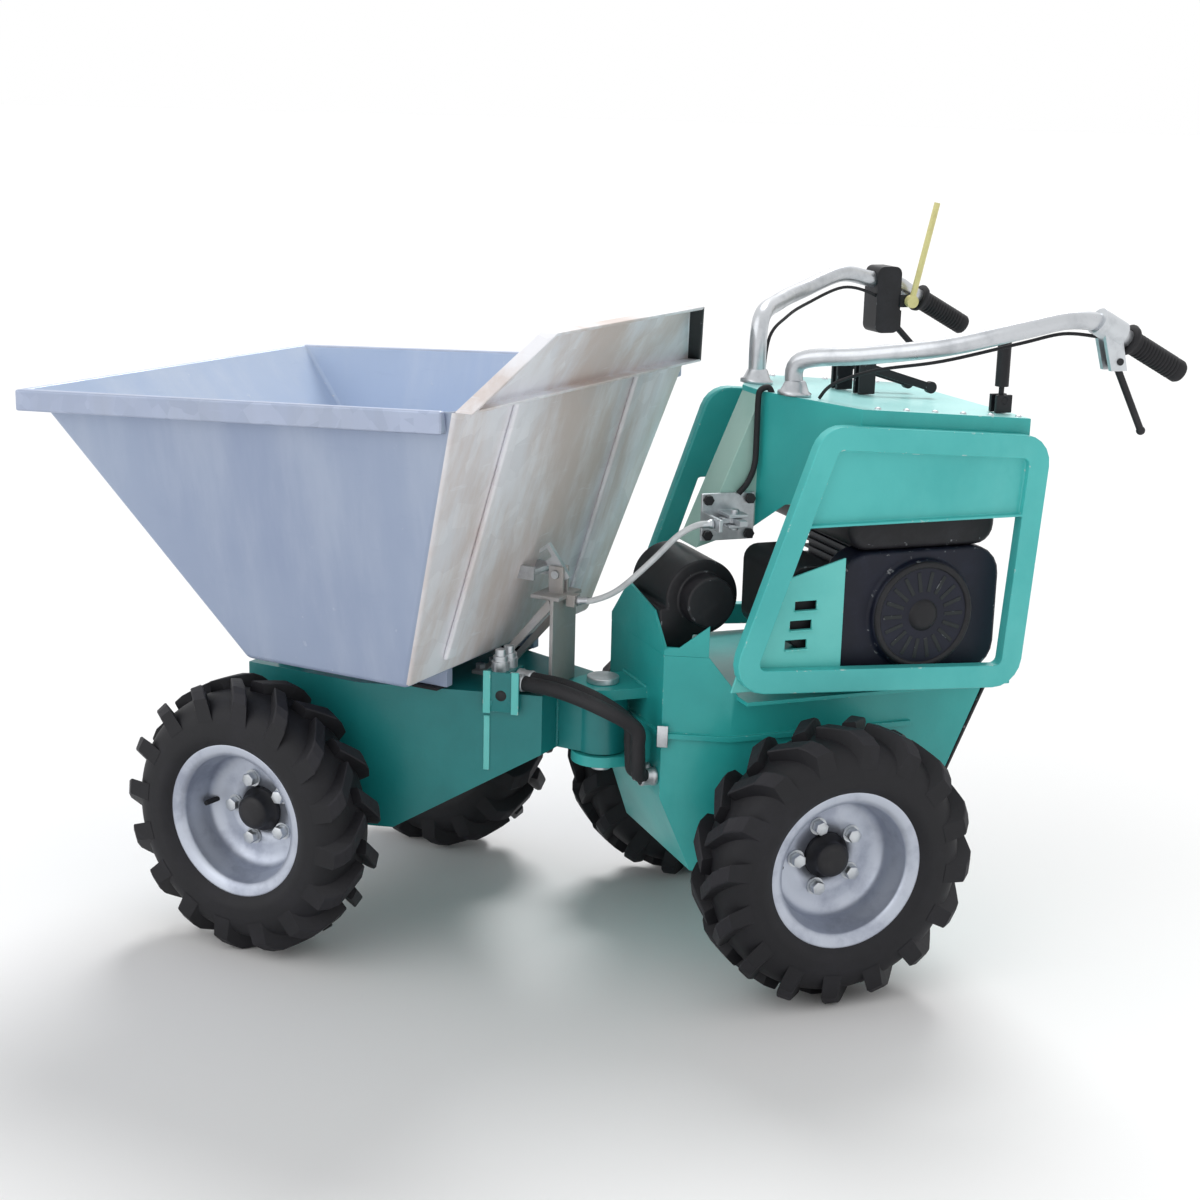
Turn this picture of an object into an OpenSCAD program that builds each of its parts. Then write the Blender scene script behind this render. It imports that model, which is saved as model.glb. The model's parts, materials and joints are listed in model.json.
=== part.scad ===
// Walk-behind articulated concrete buggy with a forward-tipping hopper.
// Millimetres, +X forward and +Z up on the front unit, which carries the hopper.
// The rear unit is drawn straight and turned about the kingpin by steer_rest.

/* [Wheels] */
// Diameter of the tyre over its lugs
tyre_d = 414; // [400:1:420]
// Section width of the tyre
tyre_w = 110; // [100:1:114]
// Diameter of the bead seat of the rim
rim_d = 203; // [196:1:210]
// Height of the rim flange over the bead seat
flange_h = 15; // [10:1:20]
// Distance between the middles of the tyres on one axle
track = 512; // [506:1:540]
// Number of lugs on each side of a tyre
lug_count = 16; // [12:1:20]
// Height of the lugs over the carcass
lug_h = 17; // [10:1:20]
// Width of a lug
lug_w = 19; // [14:1:24]

/* [Articulation] */
// Distance from the kingpin to the front axle
kingpin_to_front = 450; // [440:1:480]
// Distance from the kingpin to the rear axle
kingpin_to_rear = 260; // [256:1:290]
// Angle of the rear unit to the front unit as drawn
steer_rest = 49; // [0:1:50]
// Diameter of the kingpin
kingpin_d = 30; // [24:1:34]

/* [Front frame] */
// Height of the deck under the hopper
deck_z = 408; // [402:1:412]
// Ground clearance of the front frame
belly_z = 185; // [170:1:200]
// Half width of the front frame at the axle
frame_half = 165; // [150:1:172]
// Plate thickness of both frames
plate = 5; // [4:0.5:8]

/* [Hopper] */
// Width over the hopper side walls at the rim
hopper_w = 682; // [640:1:700]
// Width over the hopper floor
floor_w = 528; // [500:1:540]
// Height of the hopper floor
floor_z = 447; // [446:1:456]
// Height of the pouring lip
lip_z = 819; // [800:1:840]
// Height of the rim at the back wall
rim_z = 857; // [845:1:880]
// Length of the hopper floor
floor_len = 281; // [260:1:290]
// Distance of the pouring lip ahead of the front axle
lip_x = 333; // [310:1:345]
// Distance of the rim's back corner behind the front axle
rim_back = 403; // [390:1:408]
// Sheet thickness of the hopper
hopper_wall = 4; // [3:0.5:5]
// Height of the folded rim
rim_h = 28; // [20:1:34]
// Height of the splash plate above the rim
splash_h = 99; // [70:1:102]
// Width of the top edge of the splash plate
splash_w = 444; // [420:1:450]

/* [Rear body] */
// Half width of the engine tower
tower_half = 185; // [176:1:188]
// Height of the console at its front edge
console_z = 850; // [844:1:856]
// Height of the console at its rear edge
console_rear_z = 822; // [816:1:828]
// Height of the engine deck
engine_deck_z = 430; // [425:1:436]
// Width of the bar of the side guards
guard_bar = 34; // [28:1:38]
// Depth of the side guards
guard_t = 20; // [14:1:24]
// Sheet thickness of the tower
sheet = 4; // [3:0.5:5]

/* [Handlebars] */
// Diameter of the handlebar tube
bar_d = 26; // [22:1:28]
// Diameter of the hand grips
grip_d = 33; // [30:1:36]
// Half distance between the ends of the grips
grip_half = 295; // [280:1:300]
// Distance of the grip ends behind the rear axle
grip_back = 487; // [470:1:500]
// Height of the grip ends
grip_z = 899; // [880:1:910]

/* [Hidden] */
$fn = 48;

// Clearances: still fits, running fits and the overrun of cuts
still = 0.3;
run = 0.05;
over = 2;

// Colours
teal = "#3f9f9c";
dark_teal = "#2b6f70";
galvanised = "#b3b6be";
hopper_grey = "#a6adc0";
black = "#26272c";
zinc = "#c9ccd0";
tube_grey = "#8d9198";
yellow = "#dcd08a";

// Row origin: below the middle of the box round the whole machine
tail_reach = kingpin_to_rear + grip_back;
box_front = lip_x + rim_h/2;
box_back = -kingpin_to_front - tail_reach*cos(steer_rest) - (grip_half + grip_d/4)*sin(steer_rest);
box_left = hopper_w/2 + rim_h/2;
box_right = -tail_reach*sin(steer_rest) - (grip_half + grip_d/4)*cos(steer_rest);
row_x = -(box_front + box_back)/2;
row_y = -(box_left + box_right)/2;

// Places a child drawn on the front axle, or on the rear axle, in the row frame
module front_unit() {
  translate([row_x, row_y, 0]) children();
}
module rear_unit() {
  translate([row_x - kingpin_to_front, row_y, 0])
    rotate([0, 0, steer_rest])
      translate([-kingpin_to_rear, 0, 0]) children();
}
module both_sides() {
  children();
  mirror([0, 1, 0]) children();
}

// Outlines: inset of a counter-clockwise outline, and rounded corners
arc_steps = 5;
function way(a, b) = (b - a)/norm(b - a);
function meet(a, u, b, v) = let(d = u[0]*v[1] - u[1]*v[0], w = b - a) a + u*((w[0]*v[1] - w[1]*v[0])/d);
function inset(p, d) = [for (i = [0:len(p) - 1])
  let(n = len(p), u = way(p[(i + n - 1)%n], p[i]), v = way(p[i], p[(i + 1)%n]))
  meet(p[i] + d*[-u[1], u[0]], u, p[i] + d*[-v[1], v[0]], v)];
function rounded(p, r) = [for (i = [0:len(p) - 1])
  let(n = len(p), u = way(p[i], p[(i + n - 1)%n]), v = way(p[i], p[(i + 1)%n]), half = acos(u*v)/2,
    c = p[i] + way([0, 0], u + v)*r/sin(half), s = p[i] + u*r/tan(half) - c, e = p[i] + v*r/tan(half) - c,
    a = atan2(s[1], s[0]), turn = (atan2(e[1], e[0]) - a + 540)%360 - 180)
  for (t = [0:arc_steps]) c + r*[cos(a + turn*t/arc_steps), sin(a + turn*t/arc_steps)]];

// An X-Z outline given a width along Y, and an X-Y outline given a height
module slab(outline, y0, y1) {
  translate([0, y1, 0]) rotate([90, 0, 0]) linear_extrude(y1 - y0) polygon(outline);
}
module plan(outline, z0, z1) {
  translate([0, 0, z0]) linear_extrude(z1 - z0) polygon(outline);
}
module across(p, d, y0, y1) {
  translate([p[0], y1, p[1]]) rotate([90, 0, 0]) cylinder(h = y1 - y0, d = d);
}
module rod(a, b, d) {
  v = b - a;
  translate(a) rotate([0, acos(v[2]/norm(v)), atan2(v[1], v[0])]) cylinder(h = norm(v), d = d);
}

// Smooth route through points, and a tube of n sides swept along a route
function spline(p, i, t) = let(a = p[max(i - 1, 0)], b = p[i], c = p[i + 1], d = p[min(i + 2, len(p) - 1)])
  0.5*((2*b) + (c - a)*t + (2*a - 5*b + 4*c - d)*t*t + (3*b - a - 3*c + d)*t*t*t);
function smooth(p, steps) = concat([for (i = [0:len(p) - 2]) for (s = [0:steps - 1]) spline(p, i, s/steps)],
  [p[len(p) - 1]]);
function heading(p, i) = way(p[max(i - 1, 0)], p[min(i + 1, len(p) - 1)]);
function carried(v, t) = way([0, 0, 0], v - t*(v*t));
function normals(p) = [for (i = 0, v = carried([0.1, 0.2, 1], heading(p, 0)); i < len(p); i = i + 1,
  v = carried(v, heading(p, min(i, len(p) - 1)))) v];
module tube(p, d, n) {
  side = normals(p);
  rings = [for (i = [0:len(p) - 1]) let(t = heading(p, i), u = carried(side[i], t), w = cross(t, u))
    for (s = [0:n - 1]) p[i] + d/2*(cos(360*s/n)*u + sin(360*s/n)*w)];
  last = len(p) - 1;
  walls = [for (i = [0:last - 1]) for (s = [0:n - 1]) let(a = i*n + s, b = i*n + (s + 1)%n)
    each [[a, a + n, b + n], [a, b + n, b]]];
  ends = [for (s = [1:n - 2]) each [[0, s, s + 1], [last*n, last*n + s + 1, last*n + s]]];
  polyhedron(rings, concat(walls, ends));
}

// Wheel parts, drawn on an axle along Y with the outer side at +Y
tyre_r = tyre_d/2;
bead_r = rim_d/2;
flange_r = bead_r + flange_h;
carcass_r = tyre_r - lug_h;
rim_half_share = 0.4;
rim_half = rim_half_share*tyre_w;
rim_wall = 4;
tyre_wall = 9;
disc_in = 30;
disc_t = 8;
hub_r = 34;
shaft_d = 35;
nut_pcd = 96;
nut_d = 22;
nut_h = 12;
nut_count = 5;
cap_h = 34;
wheel_y = track/2;
section_steps = 14;
lug_angle = 43;
// Rounded section of the carcass from bead to bead, as a superellipse
section_share = 2.5;
function swell(v) = sign(v)*pow(abs(v), 2/section_share);
function bulge(half, low, high, a) = [(low + high)/2 + (high - low)/2*swell(sin(a)), half*swell(cos(a))];
function section(half, low, high) = [for (i = [0:section_steps])
  bulge(half, low, high, -70 + 320*i/section_steps)];
// Space taken out of the carcass: the rim with its flanges, and the throat between the beads
bead_y = rim_half - 2*rim_wall - still;
throat_y = bead_y - tyre_wall;
throat_r = flange_r + 2*tyre_wall;
half_seat = [[throat_r, throat_y], [bead_r + still, throat_y], [bead_r + still, bead_y],
  [flange_r + still, bead_y + rim_wall], [flange_r + still, tyre_w], [0, tyre_w]];
function flipped(p) = [for (i = [len(p) - 1:-1:0]) [p[i][0], -p[i][1]]];
module tyre() {
  rotate([-90, 0, 0]) {
    difference() {
      rotate_extrude($fn = 64) polygon(section(tyre_w/2, bead_r - tyre_wall, carcass_r));
      rotate_extrude($fn = 64)
        polygon(section(tyre_w/2 - tyre_wall, flange_r + tyre_wall, carcass_r - tyre_wall));
      rotate_extrude($fn = 64) polygon(concat(half_seat, flipped(half_seat)));
    }
    for (i = [0:lug_count - 1]) {
      lug(360*i/lug_count, 1);
      lug(360*(i + 0.5)/lug_count, -1);
    }
  }
}
lug_len_share = 0.56;
lug_mid_share = 0.245;
lug_len = lug_len_share*tyre_w;
lug_mid = lug_mid_share*tyre_w;
lug_root = 12;
lug_reach = lug_w/2*cos(lug_angle) + lug_len/2*sin(lug_angle);
lug_top = sqrt(tyre_r*tyre_r - lug_reach*lug_reach);
module lug(turn, side) {
  rotate([0, 0, turn])
    translate([carcass_r - lug_root, 0, side*lug_mid])
      rotate([side*lug_angle, 0, 0])
        translate([0, -lug_w/2, -lug_len/2]) cube([lug_top - carcass_r + lug_root, lug_w, lug_len]);
}
function rim_outline() = [[bead_r - rim_wall, -rim_half], [flange_r, -rim_half],
  [flange_r, -rim_half + rim_wall],
  [bead_r, -rim_half + 2*rim_wall], [bead_r, rim_half - 2*rim_wall], [flange_r, rim_half - rim_wall],
  [flange_r, rim_half], [bead_r - rim_wall, rim_half], [bead_r - 2*rim_wall, rim_half - 2*rim_wall],
  [bead_r - 2*rim_wall, 2*disc_t - disc_in], [nut_pcd/2 + nut_d, disc_t - disc_in],
  [hub_r + still, disc_t - disc_in],
  [hub_r + still, -disc_in], [bead_r - 2*rim_wall, -disc_in]];
module rim() {
  rotate([-90, 0, 0]) rotate_extrude($fn = 64) polygon(rim_outline());
}
motor_nose = 212;
shaft_in = 55;
shaft_len = wheel_y - disc_in - motor_nose + shaft_in;
module hub() {
  rotate([-90, 0, 0]) {
    translate([0, 0, -disc_in]) cylinder(h = cap_h, r = hub_r - disc_t);
    translate([0, 0, -disc_in]) cylinder(h = disc_t + disc_t/2, r = hub_r);
    translate([0, 0, -disc_in - disc_t]) cylinder(h = disc_t - still, r = nut_pcd/2 + nut_d/2);
    translate([0, 0, -disc_in - shaft_len - disc_t]) cylinder(h = shaft_len + disc_t, d = shaft_d);
    for (i = [0:nut_count - 1]) rotate([0, 0, 360*i/nut_count])
      translate([nut_pcd/2, 0, disc_t - disc_in + still]) cylinder(h = nut_h, d = nut_d, $fn = 6);
  }
}
module at_wheel(side) {
  translate([0, side*wheel_y, tyre_r]) scale_side(side) children();
}
module scale_side(side) {
  if (side > 0) children();
  else mirror([0, 1, 0]) children();
}

// Front frame: a box of plate that narrows towards the kingpin, with a nose and a boss
frame_front = 74;
frame_nose_gap = 58;
frame_end_half = 78;
taper_x = -130;
end_z = 318;
frame_slope_x = -178;
nose_half = 34;
boss_r = 38;
bush_t = 5;
boss_low = 319;
boss_high = 402;
front_edge_drop = 90;
hose_port = [-340, 44, deck_z - over];
hose_port_size = [34, 50, 32];
eye_d = 22;
eye_t = 16;
eye_z = 250;
eye_out = 24;
frame_end = frame_nose_gap - kingpin_to_front;
frame_side = [[frame_end, end_z], [frame_slope_x, belly_z], [frame_front - 2*plate, belly_z],
  [frame_front, deck_z - front_edge_drop], [frame_front, deck_z], [frame_end, deck_z]];
frame_plan = [[frame_end, -frame_end_half], [taper_x, -frame_half], [frame_front, -frame_half],
  [frame_front, frame_half], [taper_x, frame_half], [frame_end, frame_end_half]];
motor_r = 46;
module frame_box(grow) {
  intersection() {
    slab(inset(frame_side, grow), grow - frame_half, frame_half - grow);
    plan(inset(frame_plan, grow), belly_z, deck_z);
  }
}
module front_frame() color(teal) front_unit() {
  difference() {
    union() {
      difference() {
        frame_box(0);
        frame_box(plate);
        across([0, tyre_r], 2*(motor_r + still), -frame_half - over, frame_half + over);
      }
      translate([-kingpin_to_front, -nose_half, boss_low])
        cube([frame_nose_gap + plate/2, 2*nose_half, boss_high - boss_low]);
      translate([-kingpin_to_front, 0, boss_low]) cylinder(h = boss_high - boss_low, r = boss_r);
      translate(hose_port) cube(hose_port_size);
      translate([frame_front - 2*plate, -eye_d, eye_z - eye_t/2]) cube([eye_out + 2*plate, 2*eye_d, eye_t]);
      translate([frame_front + eye_out, 0, eye_z - eye_t/2]) cylinder(h = eye_t, r = eye_d);
    }
    translate([frame_front + eye_out, 0, eye_z - eye_t]) cylinder(h = 2*eye_t, d = eye_d);
    translate([-kingpin_to_front, 0, boss_low - over])
      cylinder(h = boss_high - boss_low + 2*over, d = kingpin_d + 2*bush_t + 2*still);
  }
}
module kingpin_bush() color("peru") front_unit()
  translate([-kingpin_to_front, 0, boss_low]) difference() {
    cylinder(h = boss_high - boss_low, d = kingpin_d + 2*bush_t);
    translate([0, 0, -over]) cylinder(h = boss_high - boss_low + 2*over, d = kingpin_d + 2*run);
  }

// Wheel motors: a flange on the frame side, a nose with the shaft bore and a body inside the frame
motor_flange_t = 12;
motor_flange_r = 62;
motor_nose_r = 43;
motor_body = 85;
module wheel_motor(seat) {
  rotate([-90, 0, 0]) difference() {
    union() {
      translate([0, 0, seat + still]) cylinder(h = motor_flange_t, r = motor_flange_r);
      translate([0, 0, seat + motor_flange_t])
        cylinder(h = motor_nose - seat - motor_flange_t, r = motor_nose_r);
      translate([0, 0, seat - motor_body]) cylinder(h = motor_body + motor_flange_t, r = motor_r);
    }
    translate([0, 0, wheel_y - disc_in - disc_t - shaft_len - over])
      cylinder(h = shaft_len + disc_t + over, d = shaft_d + 2*run);
  }
}
module front_wheel_motors() color(dark_teal) front_unit() both_sides()
  translate([0, 0, tyre_r]) wheel_motor(frame_half);

// Tipping hinge: two bearers on the deck, a pin in each, runners under the hopper
pin_d = 20;
pin_x = 15;
runner_half = 118;
runner_t = 16;
runner_h = 33;
bearer_t = 12;
bearer_r = 18;
pin_z = floor_z - bearer_r - still;
pin_head = 6;
bearer_y = runner_half + runner_t + still;
module tip_bearers() color(teal) front_unit() both_sides() difference() {
  union() {
    translate([pin_x - bearer_r, bearer_y, deck_z]) cube([2*bearer_r, bearer_t, pin_z - deck_z]);
    across([pin_x, pin_z], 2*bearer_r, bearer_y, bearer_y + bearer_t);
  }
  across([pin_x, pin_z], pin_d + 2*run, bearer_y - over, bearer_y + bearer_t + over);
}
module tip_pins() color(zinc) front_unit() both_sides() {
  across([pin_x, pin_z], pin_d, runner_half - pin_head, bearer_y + bearer_t + pin_head);
  across([pin_x, pin_z], pin_d + pin_head, bearer_y + bearer_t + still, bearer_y + bearer_t + pin_head);
}
runner_short = 18;
runner_back = runner_short - floor_len;
module hinge_runners() color(hopper_grey) front_unit() both_sides() difference() {
  union() {
    translate([runner_back, runner_half, floor_z - runner_h])
      cube([pin_x - runner_back, runner_t, runner_h - still]);
    across([pin_x, pin_z], 2*bearer_r, runner_half, runner_half + runner_t);
  }
  across([pin_x, pin_z], pin_d + 2*run, runner_half - over, runner_half + runner_t + over);
}
buffer_len = 46;
module hopper_buffers() color(black) front_unit() both_sides()
  translate([runner_back + buffer_len/4, runner_half - runner_t/2, deck_z])
    cube([buffer_len, 2*runner_t, floor_z - runner_h - still - deck_z]);

// Hopper: a tapered skip with a sloping front, its walls leaning out all round
back_lean = (rim_back - floor_len)/(rim_z - floor_z);
hopper_side = [[-floor_len, floor_z], [0, floor_z], [lip_x, lip_z], [-rim_back, rim_z]];
hopper_front = [[-floor_w/2, floor_z], [floor_w/2, floor_z], [hopper_w/2, rim_z], [-hopper_w/2, rim_z]];
function raised(p, d) = [p[0], p[1], p[2] + d*way(p[1], p[2]), p[3] + d*way(p[0], p[3])];
module skip_form(grow, rise) {
  intersection() {
    slab(raised(inset(hopper_side, grow), rise), -hopper_w, hopper_w);
    rotate([90, 0, 90]) translate([0, 0, -rim_back - hopper_w]) linear_extrude(2*(rim_back + hopper_w))
      polygon(raised(inset(hopper_front, grow), 2*rise));
  }
}
module hopper_shell() color(hopper_grey) front_unit() difference() {
  skip_form(0, 0);
  skip_form(hopper_wall, rim_h);
}
// Folded rim: a band of sheet round the lip and both sides, standing proud of the walls
rim_out = 12;
rim_top = 3;
lip_slope = (rim_z - lip_z)/(lip_x + rim_back);
function rim_line(x, d) = [x, rim_z + d - lip_slope*(x + rim_back)];
rim_band = [rim_line(-rim_back, -rim_h), rim_line(lip_x + rim_out, -rim_h),
  rim_line(lip_x + rim_out, rim_top),
  rim_line(-rim_back, rim_top)];
rim_start = hopper_wall - floor_len - back_lean*(rim_z - rim_h - floor_z);
rim_plan = [[rim_start, -hopper_w/2 - rim_out], [lip_x + rim_out, -hopper_w/2 - rim_out],
  [lip_x + rim_out, hopper_w/2 + rim_out], [rim_start, hopper_w/2 + rim_out]];
module hopper_rim() color(galvanised) front_unit() difference() {
  intersection() {
    slab(rim_band, -hopper_w, hopper_w);
    plan(rim_plan, floor_z, rim_z + rim_h);
  }
  skip_form(-still, rim_h);
}
// Splash plate: the back wall carried on above the rim, leaning further, with clipped corners
splash_lean = 0.64;
splash_t = 5;
splash_flange = 22;
splash_top = rim_z + splash_h;
splash_x = -rim_back - splash_lean*splash_h;
splash_side = [[-rim_back - splash_t, rim_z + still], [-rim_back, rim_z + still],
  [splash_x + splash_t, splash_top],
  [splash_x, splash_top]];
splash_face = [[-hopper_w/2, rim_z], [hopper_w/2, rim_z], [splash_w/2, splash_top],
  [-splash_w/2, splash_top]];
module splash_face_form(p) {
  rotate([90, 0, 90]) translate([0, 0, -2*rim_back]) linear_extrude(2*rim_back) polygon(p);
}
module splash_plate() color(galvanised) front_unit() intersection() {
  union() {
    slab(splash_side, -hopper_w/2, hopper_w/2);
    difference() {
      slab([splash_side[0] - [splash_flange, 0], splash_side[0], splash_side[3],
        splash_side[3] - [splash_flange, 0]], -hopper_w/2, hopper_w/2);
      splash_face_form(inset(splash_face, splash_t));
    }
  }
  splash_face_form(splash_face);
}
// Pressed ribs up the outside of the back wall
rib_y = 176;
rib_w = 26;
rib_t = 9;
function back_wall(z, out) = [-floor_len - back_lean*(z - floor_z) - out, z];
rib_foot = 26;
rib_low = floor_z + rib_foot;
rib_high = rim_z - still;
module hopper_ribs() color(galvanised) front_unit() both_sides()
  slab([back_wall(rib_low, rib_t), back_wall(rib_low, still), back_wall(rib_high, still),
    back_wall(rib_high, rib_t)], rib_y - rib_w/2, rib_y + rib_w/2);

// Tip latch: stand on the deck, keeper on the back wall, hook that drops over the keeper
stand_x = -380;
stand_top = 546;
stand_w = 70;
stand_t = 6;
stand_foot_x = -262;
latch_z = 574;
hook_x = -372;
hook_t = 8;
hook_pin_d = 12;
keeper_d = 10;
keeper_out = 20;
keeper_half = 26;
keeper_x = back_wall(latch_z, 0)[0] - keeper_out;
module latch_stand() color(galvanised) front_unit() {
  translate([stand_x - stand_t/2, -stand_w/2, deck_z]) cube([stand_t, stand_w, stand_top - deck_z]);
  translate([stand_x - 2*stand_t, -stand_w/2, stand_top - stand_t]) cube([8*stand_t, stand_w, stand_t]);
  both_sides() slab([[stand_foot_x - 2*stand_t, deck_z], [stand_foot_x, deck_z],
    [stand_x + stand_t, stand_top - stand_t], [stand_x, stand_top - 3*stand_t]],
    stand_w/2 - stand_t, stand_w/2);
  translate([stand_foot_x - 2*stand_t, -stand_w/2, deck_z]) cube([5*stand_t, stand_w, stand_t]);
  translate([stand_x - 4*stand_t, -3*stand_t/2, stand_top - 3*stand_t])
    cube([2*stand_t + stand_t/2, 3*stand_t, 3*stand_t]);
  difference() {
    both_sides() translate([hook_x - hook_pin_d, hook_t/2 + still, stand_top - over])
      cube([2*hook_pin_d, stand_t, latch_z - stand_top + hook_pin_d + over]);
    across([hook_x, latch_z], hook_pin_d + 2*run, -stand_w, stand_w);
  }
}
module latch_keeper() color(zinc) front_unit() {
  across([keeper_x, latch_z], keeper_d, -keeper_half, keeper_half);
  both_sides() slab([[keeper_x - keeper_d/2, latch_z - keeper_d], back_wall(latch_z - keeper_d, still),
    back_wall(latch_z + keeper_d, still), [keeper_x - keeper_d/2, latch_z + keeper_d]],
    keeper_half - keeper_d/2, keeper_half);
}
hook_open = 52;
hook_depth = 14;
hook_nose = 9;
hook_arm = keeper_x - hook_x;
hook_outline = [[-hook_depth, -hook_depth/2], [hook_arm - keeper_d/2 - over, -hook_depth/2],
  [hook_arm - keeper_d/2 - over, keeper_d/2 + over], [hook_arm + keeper_d/2 + over, keeper_d/2 + over],
  [hook_arm + keeper_d/2 + over, -hook_nose], [hook_arm + hook_depth - over, -hook_nose/2],
  [hook_arm + hook_depth - over, hook_depth], [-hook_depth, hook_depth]];
module latch_hook() color(zinc) front_unit()
  translate([hook_x, 0, latch_z]) rotate([0, -hook_open, 0]) {
    slab(hook_outline, -hook_t/2, hook_t/2);
    across([0, 0], hook_pin_d, -stand_t - hook_t, stand_t + hook_t);
  }
bolt_d = 16;
bolt_h = 7;
bolt_inset = 9;
module bolt_head() {
  cylinder(h = bolt_h, d = bolt_d, $fn = 6);
}
motor_bolt_pcd = 2*motor_flange_r - bolt_d - over;
module motor_bolts(seat) {
  for (i = [0:3]) rotate([-90, 0, 0]) rotate([0, 0, 45 + 90*i])
    translate([motor_bolt_pcd/2, 0, seat + motor_flange_t + 2*still]) bolt_head();
}
module front_bolts() color(zinc) front_unit() {
  both_sides() translate([0, 0, tyre_r]) motor_bolts(frame_half);
  both_sides() translate([stand_foot_x + 2*stand_t, stand_w/2 - bolt_d, deck_z + stand_t + still])
    bolt_head();
}

module front_left_tyre() color(black) front_unit() at_wheel(1) tyre();
module front_left_rim() color(zinc) front_unit() at_wheel(1) rim();
module front_left_hub() color(black) front_unit() at_wheel(1) hub();
module front_right_tyre() color(black) front_unit() at_wheel(-1) tyre();
module front_right_rim() color(zinc) front_unit() at_wheel(-1) rim();
module front_right_hub() color(black) front_unit() at_wheel(-1) hub();
module rear_left_tyre() color(black) rear_unit() at_wheel(1) tyre();
module rear_left_rim() color(zinc) rear_unit() at_wheel(1) rim();
module rear_left_hub() color(black) rear_unit() at_wheel(1) hub();
module rear_right_tyre() color(black) rear_unit() at_wheel(-1) tyre();
module rear_right_rim() color(zinc) rear_unit() at_wheel(-1) rim();
module rear_right_hub() color(black) rear_unit() at_wheel(-1) hub();

// Rear frame: a deeper box of plate with a gearbox flange, an engine deck and a yoke for the kingpin
rear_half = 150;
rear_front = 208;
rear_front_half = 105;
rear_taper_x = 120;
rear_belly_z = 160;
rear_chin = [165, 270];
rear_box_z = 485;
rear_box_back = [150, 110];
rear_tail = [-300, -232, -172];
rear_tail_z = 272;
deck_t = 6;
deck_x = [-318, 112];
yoke_r = 45;
yoke_t = 16;
yoke_gap = 2;
ledge_z = 362;
ledge_t = 8;
ledge_out = 6;
rear_side = [[rear_tail[2], rear_belly_z], [rear_chin[0], rear_belly_z], [rear_front, rear_chin[1]],
  [rear_front, rear_box_z], [rear_box_back[0], rear_box_z], [rear_box_back[1], engine_deck_z],
  [rear_tail[0], engine_deck_z], [rear_tail[1], rear_tail_z]];
rear_plan = [[rear_tail[0] - over, -rear_half], [rear_taper_x, -rear_half], [rear_front, -rear_front_half],
  [rear_front, rear_front_half], [rear_taper_x, rear_half], [rear_tail[0] - over, rear_half]];
module rear_box(grow) {
  intersection() {
    slab(inset(rear_side, grow), grow - rear_half, rear_half - grow);
    plan(inset(rear_plan, grow), rear_belly_z, rear_box_z);
  }
}
module yoke_arm(z) {
  translate([rear_front - plate/2, -yoke_r, z])
    cube([kingpin_to_rear - rear_front + plate/2, 2*yoke_r, yoke_t]);
  translate([kingpin_to_rear, 0, z]) cylinder(h = yoke_t, r = yoke_r);
}
module rear_frame() color(teal) rear_unit() difference() {
  union() {
    difference() {
      union() {
        rear_box(0);
        intersection() {
          plan(inset(rear_plan, -ledge_out), ledge_z, ledge_z + ledge_t);
          translate([rear_tail[2], -tower_half, 0]) cube([2*rear_front, 2*tower_half, rear_box_z]);
        }
        translate([deck_x[0], -tower_half, engine_deck_z - deck_t])
          cube([deck_x[1] - deck_x[0], 2*tower_half, deck_t]);
      }
      rear_box(plate);
      across([0, tyre_r], 2*(motor_r + still), -rear_half - over, rear_half + over);
    }
    yoke_arm(boss_low - yoke_gap - yoke_t);
    yoke_arm(boss_high + yoke_gap);
  }
  translate([kingpin_to_rear, 0, boss_low - 2*yoke_t])
    cylinder(h = boss_high - boss_low + 4*yoke_t, d = kingpin_d + 2*run);
}
kingpin_head = 10;
head_share = 1.6;
kingpin_tail = 14;
module kingpin() color(zinc) rear_unit() translate([kingpin_to_rear, 0, 0]) {
  translate([0, 0, boss_low - yoke_gap - yoke_t - kingpin_tail])
    cylinder(h = boss_high - boss_low + 2*(yoke_gap + yoke_t) + kingpin_tail + kingpin_head, d = kingpin_d);
  translate([0, 0, boss_high + yoke_gap + yoke_t + still])
    cylinder(h = kingpin_head - still, d = head_share*kingpin_d);
}
module rear_wheel_motors() color(dark_teal) rear_unit() both_sides()
  translate([0, 0, tyre_r]) wheel_motor(rear_half);

// Tail plate on the sloping back of the rear frame
tail_t = 6;
module tail_plate() color(black) rear_unit()
  slab([[rear_tail[1] - tail_t - still, rear_tail_z], [rear_tail[1] - still, rear_tail_z],
    [rear_tail[0] - still, engine_deck_z - deck_t - still],
    [rear_tail[0] - tail_t - still, engine_deck_z - deck_t - still]], -rear_half, rear_half);

// Tower cowl: a hood under the console, slanted in front to a narrow spine that slopes down forward
cowl_front = 38;
cowl_back = -320;
cowl_fold_x = -45;
spine_x = 40;
spine_half = 32;
spine_drop = 8;
cowl_nose = [133, 622];
cowl_foot = [[-40, 702], [14, 690], [40, 650]];
cowl_band = 37;
cowl_hem = console_rear_z - cowl_band;
cowl_side = concat([cowl_nose, [spine_x, console_z - spine_drop], [cowl_front, console_z],
  [cowl_back, console_rear_z], [cowl_back, cowl_hem], [cowl_fold_x, cowl_hem]], cowl_foot);
cowl_plan = [[cowl_back, -tower_half], [cowl_fold_x, -tower_half], [spine_x, -spine_half],
  [cowl_nose[0], -spine_half], [cowl_nose[0], spine_half], [spine_x, spine_half],
  [cowl_fold_x, tower_half], [cowl_back, tower_half]];
cowl_well = [for (i = [0, 1, 2, 5, 6, 7]) inset(cowl_plan, sheet)[i]];
console_slope = (console_z - console_rear_z)/(cowl_front - cowl_back);
function console_at(x) = console_z - console_slope*(cowl_front - x);
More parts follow.
